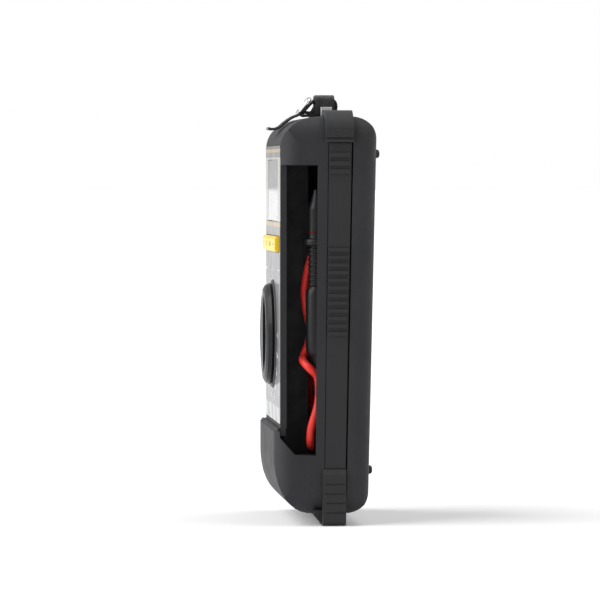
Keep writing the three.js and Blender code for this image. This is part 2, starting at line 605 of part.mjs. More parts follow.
// ---------- lead pockets ----------
function pocketLiner(side) {
  const back = BAY_BACK + LINER_T;
  const inside = BODY_W / 2 - WALL - GAP;
  const [z0, z1] = [POCKET_FLOOR + GAP, POCKET_TOP - GAP];
  const front = WALL + GAP + 0.1;
  const outerShape = path([[front, z1 + LINER_T], [back, z1 + LINER_T], [back, z0 - LINER_T],
    [2, z0 - LINER_T], [0.6, z0 + 6], [0.6, z0 + 7], [front, z0 + 7.2]]);
  const innerShape = path([[0, z1], [BAY_BACK, z1], [BAY_BACK, z0], [6.2, z0],
    [1.8, z0 + 5.6], [1.8, z0 + 6.2], [front - 0.1, z0 + 7], [0, z0 + 7.4]]);
  const outer = join(sidePrism(outerShape, BAY_INNER - LINER_T, inside),
    box(STORE_INNER - LINER_T, BAY_INNER, STORE_FRONT - LINER_T, back, z0 - LINER_T, z1 + LINER_T));
  const inner = join(sidePrism(innerShape, BAY_INNER, inside + 2),
    box(STORE_INNER, BAY_INNER + 1, STORE_FRONT, BAY_BACK, z0, z1));
  const passage = box(STORE_INNER - 4, STORE_INNER + 1, STORE_FRONT, BAY_BACK, z0, DUCT_TOP);
  const gland = box(STORE_INNER - 4, STORE_INNER + 1, GLAND_Y - 2.7, GLAND_Y + 2.7,
    GLAND_Z - 2.7, GLAND_Z + 2.7);
  const liner = cut(outer, inner, passage, gland).intersect(caseSolid(WALL + GAP));
  return side > 0 ? liner : mirrored(liner);
}

const GLAND_Y = 18.3;
const GLAND_Z = DUCT_TOP + 12;

function leadDuct() {
  const half = STORE_INNER - LINER_T - GAP;
  const [z0, z1] = [POCKET_FLOOR + GAP, DUCT_TOP];
  const outer = box(-half, half, STORE_FRONT - LINER_T, BAY_BACK + LINER_T, z0 - LINER_T, z1 + LINER_T);
  return cut(outer, box(-half - 1, half + 1, STORE_FRONT, BAY_BACK, z0, z1));
}

// The rubber gland that a lead leaves the electronics through.
function leadGland(side) {
  const inner = STORE_INNER;
  const plug = join(box(inner - LINER_T - 1, inner + 0.9, GLAND_Y - 2.4, GLAND_Y + 2.4, GLAND_Z - 2.4,
    GLAND_Z + 2.4));
  return side > 0 ? plug : mirrored(plug);
}

// ---------- test leads ----------
function probeHandle(side) {
  const end = PROBE_END;
  const rings = [];
  for (let z = end + 27.6; z < end + 43; z += 3.2) rings.push([3.5, z], [3.5, z + 1.4], [3, z + 1.7], [3, z + 2.4]);
  return turnedZ([[0, end - BOOT_L], [2.1, end - BOOT_L], [2.6, end - 3], [4.2, end], [4.4, end + 6],
    [4.4, end + 24], [3.4, end + 27], ...rings, [3.4, end + 44.4], [5, end + 45], [5, end + 47.4],
    [3.4, end + 48], [3.3, end + 50], [0, end + 50]], side * PROBE_X, PROBE_Y, 12);
}

function probeTip(side) {
  const z = PROBE_END + 50 + GAP;
  return turnedZ([[0, z], [1, z], [1, z + 13], [0, z + 15]], side * PROBE_X, PROBE_Y, 10);
}

function probeCap(side) {
  const z = PROBE_END + 50 + GAP;
  return turnedZ([[1.3, z], [3.5, z], [3.4, z + 10], [0.9, z + 18], [0, z + 18], [0, z + 15.6],
    [1.3, z + 13.4], [1.3, z]], side * PROBE_X, PROBE_Y, 14);
}

// The red lead's route from its gland; the black one is laid the same way from the other side.
const leadRoute = [
  [21.2, 18.3, 51.5], [25.5, 18.6, 53.5], [27.5, 18.9, 60], [23, 19, 75], [21.6, 19, 100],
  [21.6, 19, 121], [23.4, 19, 131], [28.8, 19, 135.6], [34, 19, 131], [35.8, 19, 121],
  [35.8, 19, 105], [35.8, 19, 80], [35.6, 19, 62], [34.2, 17.6, 52], [29, 15.6, 47.6],
  [23.6, 14.8, 52], [21.6, 14.8, 62], [21.6, 14.8, 100], [21.6, 14.8, 121],
  [23.2, 14.8, 131], [28.4, 14.8, 135.6], [33.6, 14.8, 131], [35.2, 14.7, 123], [35.2, 14.6, 116],
  [35.9, 12.4, 108], [36.1, 11, 99], [36, 11.9, 90], [35.6, 13.4, 82], [36.2, 12.4, 76.4],
  [38.6, 10.2, 71], [43.2, 10, 69.2], [46.3, 12.2, 66.6], [45.2, 15.6, 63], [45.2, 16.5, 57.5],
  [45.4, 15.6, 50], [45.3, 13.2, 41.5], [43, 12.9, 34.8], [37, 14.4, 32.5], [24, 14.8, 32.4], [8, 16, 32],
  [-8, 18, 32], [-24, 19.2, 32], [-34, 19.2, 32.6], [-40.4, 18.8, 36.5], [-42.3, 17.6, 44],
  [-41.3, 16.6, 54], [-41.5, 16, 60], [-PROBE_X, PROBE_Y, PROBE_END - BOOT_L - GAP],
];
// In the duct the black lead passes over the red one.
const blackPoint = ([x, y, z]) => {
  const over = Math.max(0, Math.min(1, (20 - Math.abs(x)) / 8));
  return [-x, y, z + (z < 40 ? 5.2 * over : 0)];
};

function cord(points) {
  const curve = new THREE.CatmullRomCurve3(points.map((p) => new THREE.Vector3(...p)));
  const section = new THREE.Shape();
  section.absarc(0, 0, CORD_R, 0, Math.PI * 2);
  const steps = 78;
  const options = { steps, extrudePath: curve, bevelEnabled: false, curveSegments: 4 };
  return solid(new THREE.ExtrudeGeometry(section, options));
}

// ---------- hand strap ----------
const STRAP_Y = 22.4;

function strapLoop() {
  const top = BODY_TOP;
  const shape = new THREE.Shape();
  shape.moveTo(-1.8, top - 5.9);
  shape.quadraticCurveTo(2.2, top - 4.6, 5, top - 2.2);
  shape.quadraticCurveTo(9, top + 0.9, 12.6, top + 1.5);
  shape.quadraticCurveTo(16.5, top + 3.4, STRAP_Y - 2.4, top + 7.4);
  shape.quadraticCurveTo(STRAP_Y, top + 9, STRAP_Y + 3, top + 8);
  shape.quadraticCurveTo(STRAP_Y + 5, top + 6.6, STRAP_Y + 4.8, top + 4);
  shape.lineTo(STRAP_Y + 4.6, top + GAP);
  shape.lineTo(STRAP_Y - 2, top + GAP);
  shape.lineTo(9.4, top + GAP);
  shape.quadraticCurveTo(7, top - 1.4, 5.2, top - 3.4);
  shape.quadraticCurveTo(2.4, top - 6, -1.8, top - 6.8);
  const body = sidePrism(shape, -STRAP_W / 2, STRAP_W / 2, 6).subtract(caseSolid(-GAP));
  const bar = new THREE.CylinderGeometry(1.7, 1.7, 40, 10);
  bar.rotateZ(Math.PI / 2);
  bar.translate(0, STRAP_Y, top + 2.8);
  const ring = new THREE.TorusGeometry(4.4, 1.1, 8, 18);
  ring.rotateX(Math.PI / 2 - 0.45);
  ring.translate(0, STRAP_Y - 5.4, top + 2.2);
  return cut(body, solid(bar), solid(ring));
}

function strapBar() {
  const top = BODY_TOP;
  const bar = new THREE.CylinderGeometry(1.2, 1.2, 17, 10);
  bar.rotateZ(Math.PI / 2);
  bar.translate(0, STRAP_Y, top + 2.8);
  const lug = (x) => box(x - 1.2, x + 1.2, STRAP_Y - 2.4, STRAP_Y + 2.4, top + GAP, top + 4.4);
  return join(solid(bar), lug(8.2), lug(-8.2));
}

// ---------- assembly ----------
const assembly = new THREE.Group();
assembly.position.y = -(backAt(BUMP_Z[1]) + BUMP_OUT - KNOB_FRONT - KNOB_DOME * 0.4) / 2;

function add(name, body, color, roughness = 0.6, metalness = 0) {
  const material = new THREE.MeshStandardMaterial({ color, roughness, metalness });
  const mesh = new THREE.Mesh(geometryOf(body), material);
  mesh.name = name;
  assembly.add(mesh);
}

add('front_case', frontCase(), colours.shell);
add('rear_case', rearCase(), colours.rear);
add('battery_cover', batteryCover(), colours.rear);
add('cover_screw', coverScrew(), colours.metal, 0.3, 1);
add('face_label', faceLabel(), colours.label);
add('display_window', displayWindow(), colours.clear, 0.1);
add('lcd_glass', lcdGlass(), colours.glass, 0.2);
add('lcd_frame', lcdFrame(), colours.frame);
add('lcd_connector', lcdConnector(), colours.rubber);
add('button_mat', buttonMat(), colours.rubber);
add('selector_knob', selectorKnob(), colours.knob, 0.5);
add('contact_rotor', contactRotor(), colours.brass, 0.4, 0.8);
add('detent_ring', detentRing(), colours.frame);
add('main_board', mainBoard(), colours.board);
add('fuse', fuse(), colours.clear, 0.2);
add('buzzer', buzzer(), colours.black);
add('measuring_chip', measuringChip(), colours.black);
add('battery_tray', batteryTray(), colours.black);
add('battery_contact_lower', batteryContact(CELL_BASE - 1.2), colours.metal, 0.3, 1);
add('battery_contact_upper', batteryContact(CELL_BASE + CELL_L + 0.4), colours.metal, 0.3, 1);
add('lead_duct', leadDuct(), colours.liner);
add('strap_loop', strapLoop(), colours.strap, 0.9);
add('strap_bar', strapBar(), colours.metal, 0.3, 1);
for (let i = 0; i < BUTTON_COUNT; i += 1) add(`button_${i + 1}`, button(i), colours.yellow, 0.4);
screwPlaces.forEach(([x, z], i) => add(`case_screw_${i + 1}`, caseScrew(x, z), colours.metal, 0.3, 1));
bumpPlaces.forEach(([x, z], i) => add(`back_pad_${i + 1}`, backPad(x, z), colours.rubber, 0.8));
for (const [word, side] of [['right', 1], ['left', -1]]) {
  add(`grip_band_${word}`, gripBand(side), colours.band, 0.7);
  add(`top_block_${word}`, topBlock(side), colours.band, 0.7);
  add(`foot_${word}`, foot(side), colours.band, 0.7);
  add(`pocket_liner_${word}`, pocketLiner(side), colours.liner, 0.8);
  add(`fuse_clip_${word}`, fuseClip(side), colours.metal, 0.3, 1);
  add(`battery_${word}`, battery(side), colours.cell, 0.4);
}
for (const [word, side, color] of [['black', 1, colours.black], ['red', -1, colours.red]]) {
  add(`${word}_probe_handle`, probeHandle(side), color, 0.45);
  add(`${word}_probe_tip`, probeTip(side), colours.metal, 0.3, 1);
  add(`${word}_probe_cap`, probeCap(side), colours.black, 0.45);
  add(`${word}_lead`, cord(word === 'red' ? leadRoute : leadRoute.map(blackPoint)), color, 0.5);
  add(`${word}_lead_gland`, leadGland(-side), colours.black, 0.7);
}

export default assembly;
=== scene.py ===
"""Looks for a handheld digital multimeter that stands upright with its leads stowed."""

import json
import math

import bmesh
import bpy
from mathutils import Matrix, Vector

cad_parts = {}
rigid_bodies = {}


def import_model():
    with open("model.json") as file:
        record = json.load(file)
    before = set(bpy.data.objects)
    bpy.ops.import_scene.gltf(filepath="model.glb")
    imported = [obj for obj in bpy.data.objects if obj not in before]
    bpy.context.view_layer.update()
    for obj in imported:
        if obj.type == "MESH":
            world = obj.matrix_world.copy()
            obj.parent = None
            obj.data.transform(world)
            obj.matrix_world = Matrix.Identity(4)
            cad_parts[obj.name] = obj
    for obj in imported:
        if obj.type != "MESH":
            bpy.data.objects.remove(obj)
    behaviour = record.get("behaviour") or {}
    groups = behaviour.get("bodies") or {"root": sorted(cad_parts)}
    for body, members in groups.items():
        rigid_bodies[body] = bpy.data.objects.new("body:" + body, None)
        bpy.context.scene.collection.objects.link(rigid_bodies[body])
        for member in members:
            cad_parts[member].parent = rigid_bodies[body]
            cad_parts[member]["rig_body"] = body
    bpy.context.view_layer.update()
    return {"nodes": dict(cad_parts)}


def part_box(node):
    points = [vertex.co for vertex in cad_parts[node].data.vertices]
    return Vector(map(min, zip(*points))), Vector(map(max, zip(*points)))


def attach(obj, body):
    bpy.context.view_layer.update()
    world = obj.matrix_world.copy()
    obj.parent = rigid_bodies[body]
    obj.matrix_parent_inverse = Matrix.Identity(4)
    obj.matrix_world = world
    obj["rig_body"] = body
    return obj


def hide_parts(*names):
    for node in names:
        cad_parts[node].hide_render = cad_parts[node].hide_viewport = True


bl_info = {
    "name": "Handheld Multimeter",
    "version": (1, 0, 0),
    "blender": (4, 5, 0),
    "location": "View3D > Sidebar > Multimeter",
    "description": "Builds the casing, controls, leads and finishes of a handheld multimeter",
    "category": "Object",
}

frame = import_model()
MM = 0.001
BODY = "meter"
LABEL_LOW, LABEL_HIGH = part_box("face_label")
GLASS_LOW, GLASS_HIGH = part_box("lcd_glass")
KNOB_LOW, KNOB_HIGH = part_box("selector_knob")
KNOB_Z = (KNOB_LOW.z + KNOB_HIGH.z) / 2
KNOB_R = (KNOB_HIGH.x - KNOB_LOW.x) / 2
FACE_Y = LABEL_LOW.y
Y_SHIFT = -FACE_Y / MM  # the face's distance in front of the middle, in mm


def frame_top():
    """Height of the case's top."""
    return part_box("rear_case")[1].z


# ---------- node materials ----------
class Finish:
    """A node material under construction, with short ways to add what it needs."""

    def __init__(self, name, roughness=0.5, metallic=0.0, coat=0.0, sheen=0.0, gloss=0.5):
        self.material = bpy.data.materials.new(name)
        self.material.use_nodes = True
        self.tree = self.material.node_tree
        self.shader = self.tree.nodes["Principled BSDF"]
        self.shader.inputs["Roughness"].default_value = roughness
        self.shader.inputs["Metallic"].default_value = metallic
        self.shader.inputs["Coat Weight"].default_value = coat
        self.shader.inputs["Sheen Weight"].default_value = sheen
        self.shader.inputs["Specular IOR Level"].default_value = gloss
        self.place = self.tree.nodes.new("ShaderNodeTexCoord").outputs["Object"]

    def node(self, kind, **settings):
        made = self.tree.nodes.new(kind)
        for key, value in settings.items():
            setattr(made, key, value)
        return made

    def link(self, source, target):
        self.tree.links.new(source, target)

    def noise(self, scale, detail=2.0, roughness=0.5, stretch=None):
        made = self.node("ShaderNodeTexNoise")
        made.inputs["Scale"].default_value = scale
        made.inputs["Detail"].default_value = detail
        made.inputs["Roughness"].default_value = roughness
        self.link(self.stretched(stretch) if stretch else self.place, made.inputs["Vector"])
        return made.outputs["Fac"]

    def stretched(self, factors):
        made = self.node("ShaderNodeMapping")
        made.inputs["Scale"].default_value = factors
        self.link(self.place, made.inputs["Vector"])
        return made.outputs["Vector"]

    def ramp(self, value, stops, interpolation="LINEAR"):
        made = self.node("ShaderNodeValToRGB")
        made.color_ramp.interpolation = interpolation
        elements = made.color_ramp.elements
        while len(elements) < len(stops):
            elements.new(0.5)
        for element, (at, color) in zip(elements, stops):
            element.position = at
            element.color = (*color, 1.0)
        self.link(value, made.inputs["Fac"])
        return made.outputs["Color"]

    def span(self, value, low, high, to_low=0.0, to_high=1.0):
        made = self.node("ShaderNodeMapRange")
        for key, number in zip(("From Min", "From Max", "To Min", "To Max"), (low, high, to_low, to_high)):
            made.inputs[key].default_value = number
        self.link(value, made.inputs["Value"])
        return made.outputs["Result"]

    def math(self, operation, a, b=None):
        made = self.node("ShaderNodeMath", operation=operation)
        for slot, value in zip(made.inputs, (a, b)):
            if value is None:
                continue
            if isinstance(value, (int, float)):
                slot.default_value = value
            else:
                self.link(value, slot)
        return made.outputs["Value"]

    def mix(self, factor, a, b, blend="MIX"):
        made = self.node("ShaderNodeMix", data_type="RGBA", blend_type=blend)
        for slot, value in zip((made.inputs[0], made.inputs[6], made.inputs[7]), (factor, a, b)):
            if isinstance(value, tuple):
                slot.default_value = (*value, 1.0)
            elif isinstance(value, float):
                slot.default_value = value
            else:
                self.link(value, slot)
        return made.outputs[2]

    def axis(self, name):
        made = self.node("ShaderNodeSeparateXYZ")
        self.link(self.place, made.inputs["Vector"])
        return made.outputs[name]

    def color(self, value):
        self.link(value, self.shader.inputs["Base Color"])

    def roughness(self, value, low, high):
        self.link(self.span(value, 0.3, 0.7, low, high), self.shader.inputs["Roughness"])

    def bump(self, value, depth, strength=1.0):
        made = self.node("ShaderNodeBump")
        made.inputs["Strength"].default_value = strength
        made.inputs["Distance"].default_value = depth
        self.link(value, made.inputs["Height"])
        self.link(made.outputs["Normal"], self.shader.inputs["Normal"])


def shade(color, factor):
    return tuple(min(1.0, channel * factor) for channel in color)


def moulded(name, color, rough=(0.5, 0.62), grain=1500.0, depth=0.00006, spread=0.16, coat=0.0):
    """Moulded plastic: spark-eroded grain, cloudy colour and rubbed, slightly uneven gloss."""
    finish = Finish(name, coat=coat, gloss=0.28)
    cloud = finish.noise(38.0, 3.0)
    speck = finish.noise(grain * 0.6, 2.0)
    base = finish.ramp(cloud, [(0.3, shade(color, 1 - spread)), (0.7, shade(color, 1 + spread))])
    dust = finish.ramp(speck, [(0.56, shade(color, 0.9)), (0.78, shade(color, 1.5))])
    finish.color(finish.mix(0.35, base, dust))
    finish.roughness(finish.noise(160.0, 4.0), *rough)
    finish.bump(finish.noise(grain, 3.0, 0.65), depth)
    return finish.material


def rubbery(name, color, rough=(0.5, 0.66)):
    """Soft-touch rubber: matt, a little sheen and faint handling marks."""
    finish = Finish(name, sheen=0.04, gloss=0.42)
    marks = finish.noise(90.0, 5.0, 0.7)
    finish.color(finish.ramp(marks, [(0.35, shade(color, 0.8)), (0.75, shade(color, 1.35))]))
    finish.roughness(marks, *rough)
    finish.bump(finish.noise(2300.0, 2.0), 0.00004)
    return finish.material


def metal(name, color, rough=(0.18, 0.36), stretch=(1, 1, 40)):
    """Plated metal with fine drawn lines and dull patches."""
    finish = Finish(name, metallic=1.0)
    lines = finish.noise(500.0, 3.0, 0.6, stretch)
    finish.color(finish.ramp(lines, [(0.3, shade(color, 0.82)), (0.7, shade(color, 1.1))]))
    finish.roughness(finish.noise(220.0, 3.0), *rough)
    finish.bump(lines, 0.00002, 0.6)
    return finish.material


def clear_sheet(name, color):
    """Clear acrylic with faint haze."""
    finish = Finish(name)
    finish.shader.inputs["Transmission Weight"].default_value = 1.0
    finish.shader.inputs["IOR"].default_value = 1.49
    haze = finish.noise(60.0, 4.0)
    finish.color(finish.ramp(haze, [(0.3, shade(color, 0.95)), (0.7, color)]))
    finish.roughness(haze, 0.02, 0.08)
    return finish.material


def display_glass(name, color):
    """Liquid crystal glass: grey-green, faintly cloudy with a polariser's fine grain."""
    finish = Finish(name, coat=0.6)
    cloud = finish.noise(25.0, 2.0)
    finish.color(finish.ramp(cloud, [(0.3, shade(color, 0.94)), (0.7, shade(color, 1.04))]))
    finish.roughness(cloud, 0.12, 0.22)
    finish.bump(finish.noise(3000.0, 1.0), 0.00001, 0.4)
    return finish.material


def woven(name, color):
    """Nylon webbing: ribs across the width, crossed by finer warp threads."""
    finish = Finish(name, sheen=0.5)
    finish.shader.inputs["Sheen Roughness"].default_value = 0.4
    coords = finish.node("ShaderNodeUVMap").outputs["UV"]
    ribs = finish.node("ShaderNodeTexWave", wave_type="BANDS", bands_direction="X")
    warp = finish.node("ShaderNodeTexWave", wave_type="BANDS", bands_direction="Y")
    for wave, scale in ((ribs, 0.55), (warp, 0.42)):
        wave.inputs["Scale"].default_value = scale
        wave.inputs["Distortion"].default_value = 0.4
        finish.link(coords, wave.inputs["Vector"])
    weave = finish.math("MULTIPLY", ribs.outputs["Fac"], warp.outputs["Fac"])
    finish.color(finish.ramp(weave, [(0.05, shade(color, 0.45)), (0.8, shade(color, 2.6))]))
    finish.roughness(finish.noise(400.0, 3.0), 0.6, 0.85)
    finish.bump(weave, 0.00025)
    return finish.material


def printed_face(name, panel, surround, brow, line):
    """The printed overlay: coloured bands by height, with a fine screen-print grain, and painted highlight
    streaks across the face below the selector.
    """
    finish = Finish(name, coat=0.25)
    low, high = LABEL_LOW.z, LABEL_HIGH.z
    height = finish.span(finish.axis("Z"), low, high)

    def at(z):
        return (z - low) / (high - low)

    top, foot = GLASS_HIGH.z, GLASS_LOW.z
    # Top of the lower face: below this height the face is a lighter band and carries the painted highlight
    # streaks.
    glare_top = KNOB_LOW.z - 8.6 * MM
    fade = 0.2 * MM
    stops = [  # each band's foot and colour, from the bottom up
        (0.0, shade(panel, 1.35)),
        (at(glare_top), panel),
        (at(foot - 5.2 * MM), shade(panel, 1.15)),
        (at(foot - 2.8 * MM), line),
        (at(foot - 1.2 * MM), shade(brow, 1.2)),
        (at(foot - 0.6 * MM), surround),
        (at(top + 1.0 * MM), shade(panel, 1.05)),
        (at(top + 3.4 * MM), line),
        (at(top + 4.6 * MM), brow),
    ]
    bands = finish.ramp(height, stops, "CONSTANT")
    # Painted highlight: pale diagonal streaks of light, mixed up to 40 % into the face below glare_top.
    painted_glare = finish.node("ShaderNodeTexWave", bands_direction="DIAGONAL")
    painted_glare.inputs["Scale"].default_value = 28.0
    painted_glare.inputs["Distortion"].default_value = 1.5
    finish.link(finish.place, painted_glare.inputs["Vector"])
    below = finish.span(finish.axis("Z"), glare_top + fade, glare_top - fade, 0.0, 0.4)
    lit = finish.math("MULTIPLY", below, painted_glare.outputs["Fac"])
    finish.color(finish.mix(lit, bands, (0.78, 0.78, 0.77)))
    finish.roughness(finish.noise(120.0, 3.0), 0.3, 0.42)
    finish.bump(finish.noise(2600.0, 2.0), 0.00002, 0.5)
    return finish.material


def board_mask(name, color):
    """Green solder mask over faint copper tracks."""
    finish = Finish(name, coat=0.4)
    tracks = finish.node("ShaderNodeTexBrick")
    tracks.inputs["Scale"].default_value = 160.0
    tracks.inputs["Color1"].default_value = (*shade(color, 0.9), 1)
    tracks.inputs["Color2"].default_value = (*shade(color, 1.2), 1)
    tracks.inputs["Mortar"].default_value = (*shade(color, 1.9), 1)
    finish.link(finish.place, tracks.inputs["Vector"])
    finish.color(tracks.outputs["Color"])
    finish.roughness(finish.noise(200.0), 0.25, 0.4)
    return finish.material


# ---------- mesh helpers ----------
def add_mesh(name, data, material, body=BODY):
    data.name = name
    piece = bpy.data.objects.new(name, data)
    bpy.context.scene.collection.objects.link(piece)
    piece.data.materials.clear()
    piece.data.materials.append(material)
    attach(piece, body)
    return piece


def smooth(data, degrees=32):
    for face in data.polygons:
        face.use_smooth = True
    data.set_sharp_from_angle(angle=math.radians(degrees))


def bevelled(piece, width, segments=3, degrees=28):
    bevel = piece.modifiers.new("edge", "BEVEL")
    bevel.width = width
    bevel.segments = segments
    bevel.limit_method = "ANGLE"
    bevel.angle_limit = math.radians(degrees)
    bevel.miter_outer = "MITER_ARC"
    even = piece.modifiers.new("even", "WEIGHTED_NORMAL")
    even.keep_sharp = True
    even.weight = 80


def refined(node, material, width=0.35 * MM, segments=3, degrees=28):
    """A finished skin in place of a CAD node: its flat facets merged and its edges rounded."""
    source = frame["nodes"][node]
    work = bmesh.new()
    work.from_mesh(source.data)
    bmesh.ops.remove_doubles(work, verts=work.verts, dist=2e-6)
    bmesh.ops.dissolve_limit(work, angle_limit=math.radians(1.4), verts=work.verts, edges=work.edges)
    bmesh.ops.triangulate(work, faces=[face for face in work.faces if len(face.verts) > 4])
    data = bpy.data.meshes.new(node + "_finish")
    work.to_mesh(data)
    work.free()
    smooth(data)
    piece = add_mesh(node + "_finish", data, material, source["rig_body"])
    if width:
        bevelled(piece, width, segments, degrees)
    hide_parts(node)
    return piece


def plain(node, material):
    source = frame["nodes"][node]
    source.data.materials.clear()
    source.data.materials.append(material)


def curve_points(points, steps=10):
    """A centripetal curve through the points, as the leads and the strap are laid."""
    pts = [Vector(p) for p in points]
    pts = [pts[0] * 2 - pts[1], *pts, pts[-1] * 2 - pts[-2]]
    out = []
    for a, b, c, d in zip(pts, pts[1:], pts[2:], pts[3:]):
        t = [0.0]
        for p, q in ((a, b), (b, c), (c, d)):
            t.append(t[-1] + max((q - p).length, 1e-9) ** 0.5)
        for i in range(steps):
            s = t[1] + (t[2] - t[1]) * i / steps
            a1 = a.lerp(b, s / t[1])
            a2 = b.lerp(c, (s - t[1]) / (t[2] - t[1]))
            a3 = c.lerp(d, (s - t[2]) / (t[3] - t[2]))
            b1 = a1.lerp(a2, s / t[2])
            b2 = a2.lerp(a3, (s - t[1]) / (t[3] - t[1]))
            out.append(b1.lerp(b2, (s - t[1]) / (t[2] - t[1])))
    out.append(pts[-2])
    return out


def tube(name, points, radius, material, closed=False):
    """A round cord or wire along the points, as a mesh."""
    data = bpy.data.curves.new(name, "CURVE")
    data.dimensions = "3D"
    data.bevel_depth = radius
    data.bevel_resolution = 4
    data.use_fill_caps = not closed
    spline = data.splines.new("POLY")
    spline.points.add(len(points) - 1)
    spline.use_cyclic_u = closed
    for point, place in zip(spline.points, points):
        point.co = (*place, 1.0)
    made = meshed(data)
    smooth(made, 50)
    return add_mesh(name, made, material)


def meshed(data):
    """The mesh of a curve or text, whose own data is then removed."""
    holder = bpy.data.objects.new("holder", data)
    bpy.context.scene.collection.objects.link(holder)
    shaped = holder.evaluated_get(bpy.context.evaluated_depsgraph_get())
    made = bpy.data.meshes.new_from_object(shaped)
    bpy.data.objects.remove(holder)
    bpy.data.curves.remove(data)
    return made


def block(work, x0, x1, y0, y1, z0, z1):
    """Adds a box to a bmesh."""
    made = bmesh.ops.create_cube(work, size=1.0)
    scale = Matrix.Diagonal((x1 - x0, y1 - y0, z1 - z0, 1.0))
    place = Matrix.Translation(((x0 + x1) / 2, (y0 + y1) / 2, (z0 + z1) / 2))
    bmesh.ops.transform(work, matrix=place @ scale, verts=made["verts"])
    return made["verts"]


def turned(profile, axis_at, segments=40, along="Z"):
    """A closed lathe form: profile is (radius, along) from one end of the axis to the other."""
    work = bmesh.new()
    rings = []
    for radius, offset in profile:
        if radius == 0:
            rings.append([work.verts.new((0, 0, offset))])
            continue
        turn = (i * math.tau / segments for i in range(segments))
        rings.append([work.verts.new((radius * math.cos(a), radius * math.sin(a), offset)) for a in turn])
    for low, high in zip(rings, rings[1:]):
        for i in range(segments):
            j = (i + 1) % segments
            corners = [low[i % len(low)], low[j % len(low)], high[j % len(high)], high[i % len(high)]]
            work.faces.new(list(dict.fromkeys(corners)))
    if along == "Y":
        bmesh.ops.rotate(work, matrix=Matrix.Rotation(math.pi / 2, 3, "X"), verts=work.verts)
    bmesh.ops.translate(work, vec=axis_at, verts=work.verts)
    bmesh.ops.remove_doubles(work, verts=work.verts, dist=1e-7)
    bmesh.ops.recalc_face_normals(work, faces=work.faces)
    data = bpy.data.meshes.new("turned")
    work.to_mesh(data)
    work.free()
    smooth(data)
    return data


def mesh_of(work, degrees=32):
    data = bpy.data.meshes.new("made")
    bmesh.ops.recalc_face_normals(work, faces=work.faces)
    work.to_mesh(data)
    work.free()
    smooth(data, degrees)
    return data


def characters(name, marks, material, y, thick):
    """Printed characters facing the front: marks are (text, x, z, height)."""
    work = bmesh.new()
    for text, x, z, height in marks:
        curve = bpy.data.curves.new("mark", "FONT")
        curve.body = text
        curve.size = height
        curve.align_x = "CENTER"
        curve.align_y = "CENTER"
        curve.extrude = thick / 2
        data = meshed(curve)
        data.transform(Matrix.Translation((x, y, z)) @ Matrix.Rotation(math.pi / 2, 4, "X"))
        work.from_mesh(data)
        bpy.data.meshes.remove(data)
    bmesh.ops.remove_doubles(work, verts=work.verts, dist=1e-7)
    return add_mesh(name, mesh_of(work), material)


# ---------- sizes and colours that a user may change ----------
def colour(name, description, default):
    return bpy.props.FloatVectorProperty(
        name=name, description=description, subtype="COLOR", size=3, min=0, max=1, default=default)


def length(name, description, default):
    return bpy.props.FloatProperty(
        name=name, description=description, unit="LENGTH", subtype="DISTANCE", min=0, default=default)


class MeterColours(bpy.types.PropertyGroup):
    """Colours of the meter's finishes."""
    shell: colour("Front case", "Fine-textured plastic of the front case", (0.0200, 0.0202, 0.0230))
    rear: colour("Rear case", "Plastic of the rear case and battery cover", (0.0225, 0.0226, 0.0250))
    rubber: colour("Rubber", "Grip bands, corner blocks, feet and pads", (0.0080, 0.0080, 0.0096))
    # Far darker than the case's plastic: painted shade standing in for the dark deep inside the lead pockets
    # and duct; the battery tray shares it.
    pocket: colour("Pocket", "Moulded liner of the lead pockets", (0.0032, 0.0032, 0.0042))
    panel: colour("Panel", "Main colour of the printed face", (0.135, 0.135, 0.140))
    surround: colour("Display surround", "Light band around the display", (0.40, 0.40, 0.39))
    brow: colour("Cap band", "Dark band across the top of the face", (0.042, 0.043, 0.045))
    line: colour("Pinstripe", "Thin lines between the bands", (0.34, 0.25, 0.13))
    ink: colour("Ink", "White printed figures and ticks", (0.82, 0.82, 0.80))
    display: colour("Display", "Liquid crystal glass behind the window", (0.50, 0.52, 0.48))
    segment: colour("Digits", "Dark segments of the display", (0.02, 0.022, 0.02))
    button: colour("Buttons", "Push buttons under the display", (0.92, 0.60, 0.012))
    knob: colour("Selector", "Rotary selector", (0.0050, 0.0050, 0.0068))
    black: colour("Black lead", "Black probe and its cable", (0.0055, 0.0055, 0.0065))
    red: colour("Red lead", "Red probe and its cable", (0.62, 0.022, 0.015))
    strap: colour("Strap", "Nylon webbing of the hand strap", (0.010, 0.010, 0.012))


class MeterSizes(bpy.types.PropertyGroup):
    """Sizes of the details that Blender adds to the meter."""
    edge: length("Edge rounding", "Radius rolled onto the case's edges", 0.4 * MM)
    small_edge: length("Small edges", "Radius rolled onto buttons, ribs and feet", 0.25 * MM)
    cord: length("Cable diameter", "Diameter of the test lead cable", 3.4 * MM)
    print_thick: length("Ink thickness", "How far printed figures stand on the face", 0.05 * MM)
    figure: length("Figure height", "Height of the numbers around the selector", 3.0 * MM)
    digit: length("Digit height", "Height of the display's digits", 14.5 * MM)
    webbing: length("Webbing thickness", "Thickness of the strap's webbing", 1.1 * MM)
    ring: length("Ring wire", "Wire diameter of the strap's ring", 1.7 * MM)


